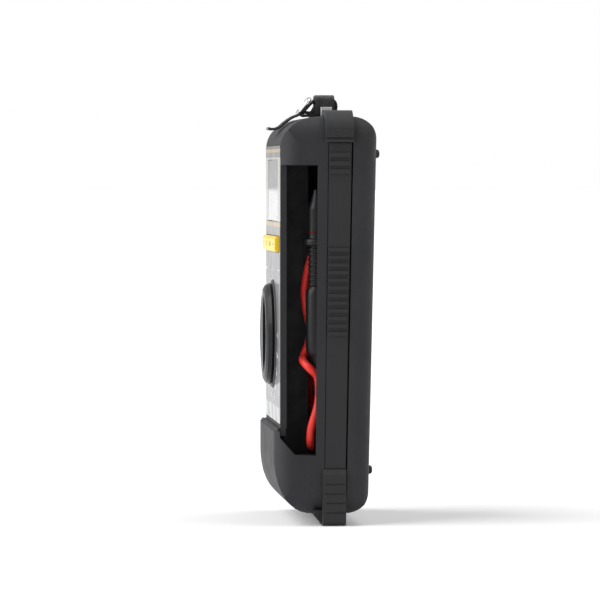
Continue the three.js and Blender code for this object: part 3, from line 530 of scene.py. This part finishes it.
class MeterStudio(bpy.types.PropertyGroup):
    """Camera and light for a product view from the meter's right side."""
    azimuth: bpy.props.FloatProperty(
        name="Azimuth", description="Camera's turn about the meter from straight in front",
        subtype="ANGLE", default=math.radians(85.7))
    elevation: bpy.props.FloatProperty(
        name="Elevation", description="Camera's angle above the horizon", subtype="ANGLE",
        default=math.radians(1.5))
    distance: length("Distance", "From the near side of the meter to the camera", 1.95)
    lens: bpy.props.FloatProperty(
        name="Focal length", description="Camera's focal length", unit="CAMERA", default=278.0)
    aim: bpy.props.FloatVectorProperty(
        name="Aim", description="Point that the camera looks at", subtype="TRANSLATION",
        default=(0.050, FACE_Y + 8 * MM, 0.0954))
    sky: bpy.props.FloatProperty(
        name="Room light", description="Strength of the even light from all around", default=0.22)
    mirrored: bpy.props.FloatProperty(
        name="Room in reflections", description="How much of the white room shows in reflections",
        default=0.5)
    key: bpy.props.FloatProperty(
        name="Key light", description="Strength of the broad light from in front and above", default=3.4)


# ---------- finishes ----------
RECIPES = {
    "shell": lambda name, c: moulded(name, c.shell),
    "rear": lambda name, c: moulded(name, c.rear, (0.52, 0.64)),
    "rubber": lambda name, c: rubbery(name, c.rubber),
    # Painted shade: near-black liner for the shadowed lead pockets, the duct and the battery tray.
    "pocket": lambda name, c: moulded(name, c.pocket, (0.6, 0.75), 900.0),
    "knob": lambda name, c: moulded(name, c.knob, (0.34, 0.46), 1800.0, 0.00003, 0.12, 0.1),
    "button": lambda name, c: moulded(name, c.button, (0.3, 0.4), 2200.0, 0.00002, 0.05, 0.2),
    "face": lambda name, c: printed_face(name, c.panel, c.surround, c.brow, c.line),
    "window": lambda name, c: clear_sheet(name, (0.97, 0.98, 0.97)),
    "glass": lambda name, c: display_glass(name, c.display),
    "collar": lambda name, c: moulded(name, (0.05, 0.05, 0.055), (0.4, 0.5), 2000.0, 0.00002),
    "ink": lambda name, c: moulded(name, c.ink, (0.4, 0.5), 2600.0, 0.00001, 0.04),
    "segment": lambda name, c: moulded(name, c.segment, (0.3, 0.4), 2600.0, 0.00001, 0.1),
    "white": lambda name, c: moulded(name, (0.66, 0.66, 0.63), (0.4, 0.5), 1400.0, 0.00003, 0.05),
    "black": lambda name, c: moulded(name, c.black, (0.32, 0.45), 1700.0, 0.00004, 0.15),
    "red": lambda name, c: moulded(name, c.red, (0.32, 0.45), 1700.0, 0.00004, 0.08),
    "black_cord": lambda name, c: rubbery(name, c.black, (0.4, 0.55)),
    "red_cord": lambda name, c: rubbery(name, c.red, (0.38, 0.52)),
    "strap": lambda name, c: woven(name, c.strap),
    "steel": lambda name, c: metal(name, (0.62, 0.62, 0.63)),
    "chrome": lambda name, c: metal(name, (0.78, 0.78, 0.78), (0.08, 0.2)),
    "brass": lambda name, c: metal(name, (0.62, 0.46, 0.2), (0.25, 0.4), (1, 1, 1)),
    "board": lambda name, c: board_mask(name, (0.03, 0.16, 0.07)),
    "cell": lambda name, c: moulded(name, (0.035, 0.13, 0.06), (0.25, 0.35), 900.0, 0.00001, 0.12, 0.5),
    "tube_glass": lambda name, c: clear_sheet(name, (0.95, 0.96, 0.95)),
    "mat": lambda name, c: rubbery(name, (0.03, 0.03, 0.035)),
}


def finish(context, key):
    """The named finish, made the first time that a piece asks for it."""
    name = "meter_" + key
    return bpy.data.materials.get(name) or RECIPES[key](name, context.scene.meter_colours)


# ---------- operators ----------
class Maker(bpy.types.Operator):
    """Shared ways of the operators that make pieces."""
    bl_options = {"REGISTER", "UNDO"}

    def execute(self, context):
        self.make(context, context.scene.meter_sizes)
        return {"FINISHED"}


class METER_OT_studio(Maker):
    """Pale floor, white surroundings, soft light and the product camera"""
    bl_idname = "meter.studio"
    bl_label = "Studio"

    def make(self, context, sizes):
        studio = context.scene.meter_studio
        context.scene.view_settings.view_transform = "Standard"
        self.camera(context, studio)
        self.room(context, studio)
        self.floor()
        self.lamps(studio)

    def camera(self, context, studio):
        data = bpy.data.cameras.new("product_camera")
        data.lens = studio.lens
        data.sensor_width = 36.0
        data.clip_end = 100.0
        camera = bpy.data.objects.new("product_camera", data)
        a, e = studio.azimuth, studio.elevation
        back = Vector((math.sin(a) * math.cos(e), -math.cos(a) * math.cos(e), math.sin(e)))
        camera.location = Vector(studio.aim) + back * studio.distance
        camera.rotation_euler = back.to_track_quat("Z", "Y").to_euler()
        context.scene.collection.objects.link(camera)
        context.scene.camera = camera

    def room(self, context, studio):
        world = bpy.data.worlds.new("white_room")
        world.use_nodes = True
        tree = world.node_tree
        background = tree.nodes["Background"]
        path = tree.nodes.new("ShaderNodeLightPath").outputs
        seen = tree.nodes.new("ShaderNodeMath")
        seen.operation = "MULTIPLY_ADD"
        seen.use_clamp = True
        seen.inputs[1].default_value = studio.mirrored
        tree.links.new(path["Is Glossy Ray"], seen.inputs[0])
        tree.links.new(path["Is Camera Ray"], seen.inputs[2])
        strength = tree.nodes.new("ShaderNodeMapRange")
        strength.inputs["To Min"].default_value = studio.sky
        strength.inputs["To Max"].default_value = 1.0
        tree.links.new(seen.outputs["Value"], strength.inputs["Value"])
        tree.links.new(strength.outputs["Result"], background.inputs["Strength"])
        background.inputs["Color"].default_value = (1, 1, 1, 1)
        context.scene.world = world

    def floor(self):
        work = bmesh.new()
        bmesh.ops.create_circle(work, cap_ends=True, segments=96, radius=60.0)
        floor = bpy.data.objects.new("pale_floor", mesh_of(work))
        look = Finish("meter_floor", roughness=0.7)
        look.color(look.ramp(look.noise(3.0), [(0.3, (0.9, 0.9, 0.9)), (0.7, (0.92, 0.92, 0.92))]))
        look.shader.inputs["Emission Color"].default_value = (1, 1, 1, 1)
        look.shader.inputs["Emission Strength"].default_value = 0.12
        floor.data.materials.append(look.material)
        bpy.context.scene.collection.objects.link(floor)

    def lamps(self, studio):
        self.sun("key_light", (0.12, -0.80, 0.62), studio.key, 70)
        self.sun("rim_light", (-0.1, 0.55, 0.84), studio.key * 0.4, 60)

    def sun(self, name, towards, strength, spread):
        data = bpy.data.lights.new(name, "SUN")
        data.energy = strength
        data.angle = math.radians(spread)
        lamp = bpy.data.objects.new(name, data)
        lamp.rotation_euler = Vector(towards).to_track_quat("Z", "Y").to_euler()
        bpy.context.scene.collection.objects.link(lamp)


class METER_OT_leads(Maker):
    """The two test lead cables, each coiled in its pocket and led across the duct to its probe"""
    bl_idname = "meter.leads"
    bl_label = "Test leads"

    ROUTE = [
        (21.2, 18.3, 51.5), (25.5, 18.6, 53.5), (27.5, 18.9, 60), (23, 19, 75), (21.6, 19, 100),
        (21.6, 19, 121), (23.4, 19, 131), (28.8, 19, 135.6), (34, 19, 131), (35.8, 19, 121),
        (35.8, 19, 105), (35.8, 19, 80), (35.6, 19, 62), (34.2, 17.6, 52), (29, 15.6, 47.6),
        (23.6, 14.8, 52), (21.6, 14.8, 62), (21.6, 14.8, 100), (21.6, 14.8, 121),
        (23.2, 14.8, 131), (28.4, 14.8, 135.6), (33.6, 14.8, 131), (35.2, 14.7, 123),
        (35.2, 14.6, 116), (35.9, 12.4, 108), (36.1, 11, 99), (36, 11.9, 90), (35.6, 13.4, 82),
        (36.2, 12.4, 76.4), (38.6, 10.2, 71), (43.2, 10, 69.2), (46.3, 12.2, 66.6), (45.2, 15.6, 63),
        (45.2, 16.5, 57.5), (45.4, 15.6, 50), (45.3, 13.2, 41.5), (43, 12.9, 34.8),
        (37, 14.4, 32.5), (24, 14.8, 32.4), (8, 16, 32), (-8, 18, 32), (-24, 19.2, 32),
        (-34, 19.2, 32.6), (-40.4, 18.8, 36.5), (-42.3, 17.6, 44), (-41.3, 16.6, 54), (-41.5, 16, 60),
        (-42.3, 15.4, 66.2),
    ]

    def make(self, context, sizes):
        red = [Vector((x, y - Y_SHIFT, z)) * MM for x, y, z in self.ROUTE]
        black = [Vector((-x, y - Y_SHIFT, z + self.over(x, z))) * MM for x, y, z in self.ROUTE]
        for word, points in (("red", red), ("black", black)):
            cord = tube(word + "_lead_cable", curve_points(points), sizes.cord / 2,
                        finish(context, word + "_cord"))
            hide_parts(word + "_lead")

    def over(self, x, z):
        """The black cable is lifted over the red one in the duct."""
        return 5.2 * max(0.0, min(1.0, (20 - abs(x)) / 8)) if z < 40 else 0.0


class METER_OT_casing(Maker):
    """Front case, rear case and battery cover"""
    bl_idname = "meter.casing"
    bl_label = "Casing"

    def make(self, context, sizes):
        refined("front_case", finish(context, "shell"), sizes.edge)
        refined("rear_case", finish(context, "rear"), sizes.edge)
        refined("battery_cover", finish(context, "rear"), sizes.small_edge)


class METER_OT_bumpers(Maker):
    """Ribbed grip bands, corner blocks, feet and the pads on the back"""
    bl_idname = "meter.bumpers"
    bl_label = "Bumpers and feet"

    def make(self, context, sizes):
        rubber = finish(context, "rubber")
        for side in ("right", "left"):
            for part in ("grip_band_", "top_block_", "foot_"):
                refined(part + side, rubber, sizes.small_edge)
        for i in range(1, 5):
            low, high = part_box(f"back_pad_{i}")
            radius, deep = (high.x - low.x) / 2, high.y - low.y
            centre = Vector(((low.x + high.x) / 2, high.y, (low.z + high.z) / 2))
            dome = ((0.5, 0.1), (0.8, 0.35), (0.96, 0.8), (1, 1.3))
            profile = [(0, 0), *[(radius * share, y * MM) for share, y in dome], (radius, deep), (0, deep)]
            pad = add_mesh(f"back_pad_{i}_finish", turned(profile, centre, 28, "Y"), rubber)
            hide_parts(f"back_pad_{i}")


class METER_OT_pockets(Maker):
    """Lead pockets, the duct between them and the glands that the cables leave by"""
    bl_idname = "meter.pockets"
    bl_label = "Lead pockets"

    def make(self, context, sizes):
        for side in ("right", "left"):
            refined("pocket_liner_" + side, finish(context, "pocket"), sizes.small_edge)
        refined("lead_duct", finish(context, "pocket"), sizes.small_edge)
        for word in ("red", "black"):
            refined(word + "_lead_gland", finish(context, "mat"), sizes.small_edge)


class METER_OT_face(Maker):
    """Printed face with its scale around the selector, and the window over the display"""
    bl_idname = "meter.face"
    bl_label = "Face"

    SCALE = ["0", "2", "20", "200", "600", "750", "200", "20", "2", "200", "2k", "20k", "200k", "2M",
             "20m", "10"]
    STEP = 18.0
    TICK_FROM, TICK_TO = 2.0 * MM, 3.6 * MM  # out from the selector's rim
    FIGURE_OUT_X, FIGURE_OUT_Z = 7.8 * MM, 6.2 * MM  # to a figure's middle, sideways and upright

    def make(self, context, sizes):
        ink = finish(context, "ink")
        refined("face_label", finish(context, "face"), 0.12 * MM, 2)
        self.window(context)
        self.collar(context)
        marks = []
        ticks = bmesh.new()
        y = FACE_Y - sizes.print_thick / 2
        for i, text in enumerate(self.SCALE):
            angle = math.radians(90 + i * self.STEP)
            x = math.cos(angle) * (KNOB_R + self.FIGURE_OUT_X)
            z = KNOB_Z + math.sin(angle) * (KNOB_R + self.FIGURE_OUT_Z)
            marks.append((text, x, z, sizes.figure))
            self.tick(ticks, angle, y, sizes.print_thick)
        characters("scale_figures", marks, ink, y, sizes.print_thick)
        add_mesh("scale_ticks", mesh_of(ticks), ink)
        self.frame_lines(ink, y, sizes)

    def window(self, context):
        """Clear window with a raised pane that fills the label's opening."""
        low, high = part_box("display_window")
        lap = 0.1 * MM
        below_label = 0.06 * MM
        plate = (low.x, high.x, low.z, high.z)
        pane = (GLASS_LOW.x - lap, GLASS_HIGH.x + lap, GLASS_LOW.z - lap, GLASS_HIGH.z + lap)
        rims = [(*plate, high.y), (*plate, low.y), (*pane, low.y), (*pane, FACE_Y + below_label)]
        work = bmesh.new()
        rings = [[work.verts.new((x, y, z)) for x, z in ((x0, z0), (x1, z0), (x1, z1), (x0, z1))]
                 for x0, x1, z0, z1, y in rims]
        for ring, after in zip(rings, rings[1:]):
            for i in range(4):
                work.faces.new((ring[i], ring[(i + 1) % 4], after[(i + 1) % 4], after[i]))
        work.faces.new(rings[0])
        work.faces.new(rings[-1])
        window = add_mesh("display_window_finish", mesh_of(work), finish(context, "window"))
        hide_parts("display_window")

    def collar(self, context):
        """Low ring on the face that the selector turns inside."""
        inner, outer, high = KNOB_R - 3 * MM, KNOB_R + 1.5 * MM, 0.62 * MM
        profile = [(inner, 0), (outer, 0), (outer, high * 0.6), (outer - 0.3 * MM, high),
                   (inner, high), (inner, 0)]
        ring = turned(profile, Vector((0, FACE_Y, KNOB_Z)), 96, "Y")
        add_mesh("selector_collar", ring, finish(context, "collar"))

    def tick(self, work, angle, y, thick):
        half = 0.25 * MM
        made = block(work, KNOB_R + self.TICK_FROM, KNOB_R + self.TICK_TO, y - thick / 2, y + thick / 2,
                     -half, half)
        spin = Matrix.Translation((0, 0, KNOB_Z)) @ Matrix.Rotation(-angle, 4, "Y")
        bmesh.ops.transform(work, matrix=spin, verts=made)

    def frame_lines(self, ink, y, sizes):
        """Thin lines down both sides of the scale, turned inwards at the top."""
        margin, half, turn, above = 4 * MM, 0.2 * MM, 7 * MM, 6 * MM
        near, far = y - sizes.print_thick / 2, y + sizes.print_thick / 2
        foot, top = KNOB_LOW.z + above, KNOB_HIGH.z + above
        work = bmesh.new()
        for side in (-1, 1):
            x = side * (LABEL_HIGH.x - margin)
            inner = x - side * turn
            block(work, x - half, x + half, near, far, foot, top)
            block(work, min(x, inner), max(x, inner), near, far, top, top + 2 * half)
        add_mesh("scale_lines", mesh_of(work), ink)


class METER_OT_display(Maker):
    """Liquid crystal glass with its digits, its frame and its connector"""
    bl_idname = "meter.display"
    bl_label = "Display"

    READING = "2470"
    SEGMENTS = {"0": "abcdef", "2": "abged", "4": "fgbc", "7": "abc"}
    WIDTH, PITCH, BAR, LEAN = 0.52, 1.45, 0.105, 0.1  # shares of a digit's height, or of its width for PITCH
    BARS, BAR_PITCH = 41, 1.2 * MM  # of the bar graph under the digits

    def make(self, context, sizes):
        refined("lcd_glass", finish(context, "glass"), 0.15 * MM, 2)
        refined("lcd_frame", finish(context, "white"), 0.15 * MM, 2)
        plain("lcd_connector", finish(context, "mat"))
        work = bmesh.new()
        high = sizes.digit
        wide = high * self.WIDTH
        middle = (GLASS_LOW.z + GLASS_HIGH.z) / 2
        near, far = GLASS_LOW.y - sizes.print_thick, GLASS_LOW.y
        for i, figure in enumerate(self.READING):
            x = (i - (len(self.READING) - 1) / 2) * wide * self.PITCH
            self.figure(work, figure, x, middle, wide, high, near, far)
        dot, foot = 0.8 * MM, middle - high / 2
        block(work, -dot, dot, near, far, foot - dot, foot + dot)
        half, base = 0.12 * MM, GLASS_LOW.z + 1.6 * MM
        for i in range(self.BARS):
            x = (i - self.BARS // 2) * self.BAR_PITCH
            tall = (1.6 if i % 10 == 0 else 0.9) * MM
            block(work, x - half, x + half, near, far, base, base + tall)
        add_mesh("display_digits", mesh_of(work), finish(context, "segment"))

    def figure(self, work, figure, x, z, wide, high, near, far):
        """One figure of seven bars, lettered a to g from the top clockwise, with g across the middle."""
        bar = high * self.BAR
        half, rise = wide / 2, high / 2
        gap, joint = bar * 1.12, bar * 0.62
        places = {
            "a": (gap - half, half - gap, rise - bar, rise), "d": (gap - half, half - gap, -rise, bar - rise),
            "g": (gap - half, half - gap, -bar / 2, bar / 2), "b": (half - bar, half, joint, rise - gap),
            "f": (-half, bar - half, joint, rise - gap), "c": (half - bar, half, gap - rise, -joint),
            "e": (-half, bar - half, gap - rise, -joint),
        }
        for key in self.SEGMENTS[figure]:
            x0, x1, z0, z1 = places[key]
            lean = self.LEAN * (z0 + z1) / 2
            block(work, x + x0 + lean, x + x1 + lean, near, far, z + z0, z + z1)


class METER_OT_buttons(Maker):
    """Four push buttons with printed marks, and the rubber mat behind them"""
    bl_idname = "meter.buttons"
    bl_label = "Buttons"

    def make(self, context, sizes):
        for i in range(1, 5):
            node = f"button_{i}"
            refined(node, finish(context, "button"), sizes.small_edge)
            self.mark(context, node, i, sizes)
        refined("button_mat", finish(context, "mat"), sizes.small_edge)

    def mark(self, context, node, i, sizes):
        """A small printed sign on the cap: one, two or three upright bars, or one lying bar."""
        low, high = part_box(node)
        x, z = (low.x + high.x) / 2, (low.z + high.z) / 2
        upright = i < 4
        count = i if upright else 1
        half, rise = (0.35 * MM, 1.1 * MM) if upright else (2.4 * MM, 0.35 * MM)
        pitch = 2.2 * MM
        work = bmesh.new()
        for k in range(count):
            middle = x + (k - (count - 1) / 2) * pitch
            block(work, middle - half, middle + half, low.y - sizes.print_thick, low.y, z - rise, z + rise)
        add_mesh(node + "_mark", mesh_of(work), finish(context, "segment"), node)


class METER_OT_selector(Maker):
    """Rotary selector with its grip bar, ribbed rim and pointer, and the contacts that it turns"""
    bl_idname = "meter.selector"
    bl_label = "Selector"

    RIBS = 72
    RIB_HALF, RIB_ROOT, RIB_OUT = 0.35 * MM, 0.5 * MM, 0.22 * MM
    POINTER_HALF, POINTER_LONG = 0.62 * MM, 5.42 * MM

    def make(self, context, sizes):
        refined("selector_knob", finish(context, "knob"), sizes.small_edge)
        self.ribs(context)
        self.pointer(context)
        refined("contact_rotor", finish(context, "brass"), 0.1 * MM, 2)
        plain("detent_ring", finish(context, "white"))

    def ribs(self, context):
        """Fine ribs around the rim for the fingers."""
        work = bmesh.new()
        front, back = KNOB_LOW.y + 3.3 * MM, FACE_Y - 1.5 * MM
        for i in range(self.RIBS):
            made = block(work, KNOB_R - self.RIB_ROOT, KNOB_R + self.RIB_OUT, front, back,
                         -self.RIB_HALF, self.RIB_HALF)
            spin = Matrix.Translation((0, 0, KNOB_Z)) @ Matrix.Rotation(i * math.tau / self.RIBS, 4, "Y")
            bmesh.ops.transform(work, matrix=spin, verts=made)
        ribs = add_mesh("selector_ribs", mesh_of(work), finish(context, "knob"), "selector")
        bevelled(ribs, 0.15 * MM, 2)

    def pointer(self, context):
        """White line on the grip bar."""
        work = bmesh.new()
        tip = KNOB_HIGH.z - 3.48 * MM
        block(work, -self.POINTER_HALF, self.POINTER_HALF, KNOB_LOW.y + 0.45 * MM, KNOB_LOW.y + 1.2 * MM,
              tip - self.POINTER_LONG, tip)
        add_mesh("selector_pointer", mesh_of(work), finish(context, "ink"), "selector")


class METER_OT_probes(Maker):
    """Test probes: ribbed handles with finger guards, steel tips and slip-on caps"""
    bl_idname = "meter.probes"
    bl_label = "Probes"

    HANDLE = [(0, 0), (2.0, 0), (2.1, 0.2), (2.35, 2), (2.6, 4), (3.4, 5.6), (4.1, 6.8), (4.3, 8.4),
              (4.4, 12), (4.4, 31), (4.1, 33), (3.5, 34)]
    NECK = [(3.4, 51.4), (4.2, 51.6), (4.9, 51.9), (5, 52.4), (5, 53.9), (4.8, 54.3), (3.5, 54.8),
            (3.35, 55.4), (3.3, 57), (0, 57)]
    RIB_FROM, RIB_PITCH, RIB_COUNT = 34.6, 2.1, 8

    def make(self, context, sizes):
        for word in ("black", "red"):
            low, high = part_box(word + "_probe_handle")
            foot = Vector(((low.x + high.x) / 2, (low.y + high.y) / 2, low.z))
            profile = [*self.HANDLE, *self.ribs(), *self.NECK]
            handle = add_mesh(word + "_probe_grip", turned([(r * MM, z * MM) for r, z in profile], foot, 48),
                              finish(context, word))
            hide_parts(word + "_probe_handle")
            refined(word + "_probe_tip", finish(context, "chrome"), 0)
            refined(word + "_probe_cap", finish(context, "black"), 0.15 * MM)

    def ribs(self):
        for i in range(self.RIB_COUNT):
            z = self.RIB_FROM + i * self.RIB_PITCH
            yield from ((3.05, z), (3.45, z + 0.3), (3.5, z + 0.7), (3.45, z + 1.1), (3.05, z + 1.4))


class METER_OT_strap(Maker):
    """Folded webbing of the hand strap, its metal ring and the bar that it hangs from"""
    bl_idname = "meter.strap"
    bl_label = "Hand strap"

    FOLD = [
        (-2.4, -4.7), (-0.8, -5.0), (0.8, -4.9), (2.6, -4.2), (4.8, -2.3), (8.0, -0.1), (11.2, 1.3),
        (13.6, 3.2), (15.9, 5.7), (18.6, 7.7), (21.8, 8.4), (25.0, 7.9), (26.7, 6.3), (26.9, 3.6),
        (26.0, 1.5), (23.0, 0.95), (17.0, 0.95), (12.6, 1.0), (12.9, 2.1), (16.6, 2.2), (18.2, 4.4),
        (19.4, 6.4), (21.8, 7.1), (24.4, 6.7), (25.5, 5.2), (25.6, 3.4), (24.6, 2.3), (20.6, 2.2),
        (17.6, 2.1),
    ]

    KEEPER_HALF, KEEPER_AT = 6.5, 22.0
    KEEPER_WIDE = 8.2 * MM

    def make(self, context, sizes):
        low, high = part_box("strap_loop")
        half = (high.x - low.x) / 2
        top = frame_top()
        line = curve_points([Vector((0, y - Y_SHIFT, z)) * MM + Vector((0, 0, top)) for y, z in self.FOLD], 6)
        strap = self.ribbon(line, half, sizes.webbing, finish(context, "strap"))
        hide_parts("strap_loop")
        self.keeper(context, top)
        refined("strap_bar", finish(context, "steel"), 0.2 * MM)
        self.ring(context, sizes, top)

    def keeper(self, context, top):
        """A short band of webbing wrapped around the fold."""
        low, high, half = 1.2 * MM, 9.2 * MM, self.KEEPER_HALF * MM
        corner = 2.2 * MM
        line = []
        for x, z, start in ((half, high, 0), (-half, high, 90), (-half, low, 180), (half, low, 270)):
            inward = Vector((-math.copysign(corner, x), 0, -corner if z == high else corner))
            for step in range(5):
                angle = math.radians(start + step * 22.5)
                offset = Vector((math.cos(angle), 0, math.sin(angle))) * corner
                line.append(Vector((x, 0, top + z)) + inward + offset)
        middle = Vector((0, (self.KEEPER_AT - Y_SHIFT) * MM, 0))
        loop = [point + middle for point in line]
        band = self.ribbon([*loop, loop[0]], self.KEEPER_WIDE / 2, 0.8 * MM, finish(context, "strap"),
                           across=Vector((0, 1, 0)))
        band.name = "strap_keeper"

    def ribbon(self, line, half, thick, material, across=Vector((1, 0, 0))):
        """A flat strip with rounded selvedges along a line, with a map of its length and width in mm."""
        work = bmesh.new()
        uv = work.loops.layers.uv.new("weave")
        flat = half - 0.3 * MM
        section = [(-half, 0), (-flat, thick / 2), (flat, thick / 2), (half, 0),
                   (flat, -thick / 2), (-flat, -thick / 2)]
        rows, run, travelled = [], [], 0.0
        for i, point in enumerate(line):
            ahead = line[min(i + 1, len(line) - 1)] - line[max(i - 1, 0)]
            normal = across.cross(ahead).normalized()
            rows.append([work.verts.new(point + across * x + normal * t) for x, t in section])
            travelled += (point - line[i - 1]).length if i else 0.0
            run.append(travelled / MM)
        count = len(section)
        for i in range(len(rows) - 1):
            for j in range(count):
                k = (j + 1) % count
                face = work.faces.new((rows[i][j], rows[i][k], rows[i + 1][k], rows[i + 1][j]))
                places = ((i, j), (i, k), (i + 1, k), (i + 1, j))
                for loop, (a, b) in zip(face.loops, places):
                    loop[uv].uv = (run[a], section[b][0] / MM)
        work.faces.new(rows[0][::-1])
        work.faces.new(rows[-1])
        return add_mesh("strap_webbing", mesh_of(work, 50), material)

    def ring(self, context, sizes, top):
        """A flattened ring of bright wire that leans on the front of the fold."""
        low, high = Vector((0, 10.9 - Y_SHIFT, 1.9)) * MM, Vector((0, 15.6 - Y_SHIFT, 8.0)) * MM
        up = high - low
        half_wide, squareness, steps = 7.2 * MM, 0.6, 48
        points = []
        for i in range(steps):
            across, along = [math.copysign(abs(turn) ** squareness, turn)
                             for turn in (math.cos(i * math.tau / steps), math.sin(i * math.tau / steps))]
            points.append(low + up * (0.5 + 0.5 * along) + Vector((half_wide * across, 0, top)))
        tube("strap_ring", points, sizes.ring / 2, finish(context, "chrome"), closed=True)


class METER_OT_fasteners(Maker):
    """Case screws and the battery cover's screw"""
    bl_idname = "meter.fasteners"
    bl_label = "Screws"

    def make(self, context, sizes):
        for i in range(1, 5):
            refined(f"case_screw_{i}", finish(context, "steel"), 0.12 * MM, 2)
        self.slotted("cover_screw", finish(context, "steel"))

    def slotted(self, node, material):
        """A cheese-head screw: two half discs over a plain shank, with a slot between them."""
        low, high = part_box(node)
        middle = (low + high) / 2
        radius, deep, half_slot, overlap = (high.x - low.x) / 2, 0.6 * MM, 0.45 * MM, 0.02 * MM
        shank = Matrix.Translation((middle.x, (low.y + high.y - deep) / 2, middle.z))
        work = bmesh.new()
        bmesh.ops.create_cone(
            work, cap_ends=True, segments=40, radius1=radius, radius2=radius, depth=high.y - low.y - deep,
            matrix=shank @ Matrix.Rotation(math.pi / 2, 4, "X"))
        edge = math.asin(half_slot / radius)
        steps = 20
        for start in (0, math.pi):
            turns = [start + edge + (math.pi - 2 * edge) * i / steps for i in range(steps + 1)]
            foot, lid = [
                [work.verts.new((middle.x + radius * math.cos(a), y, middle.z + radius * math.sin(a)))
                 for a in turns] for y in (high.y - deep - overlap, high.y)]
            work.faces.new(foot)
            work.faces.new(lid)
            for i in range(steps + 1):
                k = (i + 1) % (steps + 1)
                work.faces.new((foot[i], foot[k], lid[k], lid[i]))
        screw = add_mesh(node + "_finish", mesh_of(work), material)
        bevelled(screw, 0.12 * MM, 2)
        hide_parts(node)


class METER_OT_internals(Maker):
    """Circuit board and the parts on it, the cells and their tray"""
    bl_idname = "meter.internals"
    bl_label = "Inside parts"

    LOOKS = {
        "main_board": "board", "fuse": "tube_glass", "fuse_clip_right": "steel", "fuse_clip_left": "steel",
        "buzzer": "black", "measuring_chip": "black", "battery_tray": "pocket", "battery_right": "cell",
        "battery_left": "cell", "battery_contact_lower": "steel", "battery_contact_upper": "steel",
    }

    def make(self, context, sizes):
        for node, key in self.LOOKS.items():
            plain(node, finish(context, key))


MAKERS = (
    METER_OT_studio, METER_OT_leads, METER_OT_casing, METER_OT_bumpers, METER_OT_pockets, METER_OT_face,
    METER_OT_display, METER_OT_buttons, METER_OT_selector, METER_OT_probes, METER_OT_strap,
    METER_OT_fasteners, METER_OT_internals,
)


class METER_PT_panel(bpy.types.Panel):
    """Lists the makers, sizes and colours"""
    bl_idname = "METER_PT_panel"
    bl_label = "Handheld Multimeter"
    bl_space_type = "VIEW_3D"
    bl_region_type = "UI"
    bl_category = "Multimeter"

    def draw(self, context):
        column = self.layout.column(align=True)
        for maker in MAKERS:
            column.operator(maker.bl_idname)
        for group in (context.scene.meter_sizes, context.scene.meter_colours, context.scene.meter_studio):
            box = self.layout.box()
            for key in group.bl_rna.properties.keys():
                if key not in {"rna_type", "name"}:
                    box.prop(group, key)


GROUPS = {"meter_colours": MeterColours, "meter_sizes": MeterSizes, "meter_studio": MeterStudio}


def register():
    for made in (*GROUPS.values(), *MAKERS, METER_PT_panel):
        bpy.utils.register_class(made)
    for name, group in GROUPS.items():
        setattr(bpy.types.Scene, name, bpy.props.PointerProperty(type=group))


def unregister():
    for name in GROUPS:
        delattr(bpy.types.Scene, name)
    for made in reversed((*GROUPS.values(), *MAKERS, METER_PT_panel)):
        bpy.utils.unregister_class(made)


def main():
    register()
    for maker in MAKERS:
        getattr(bpy.ops.meter, maker.bl_idname.split(".")[1])()


if __name__ == "__main__":
    main()
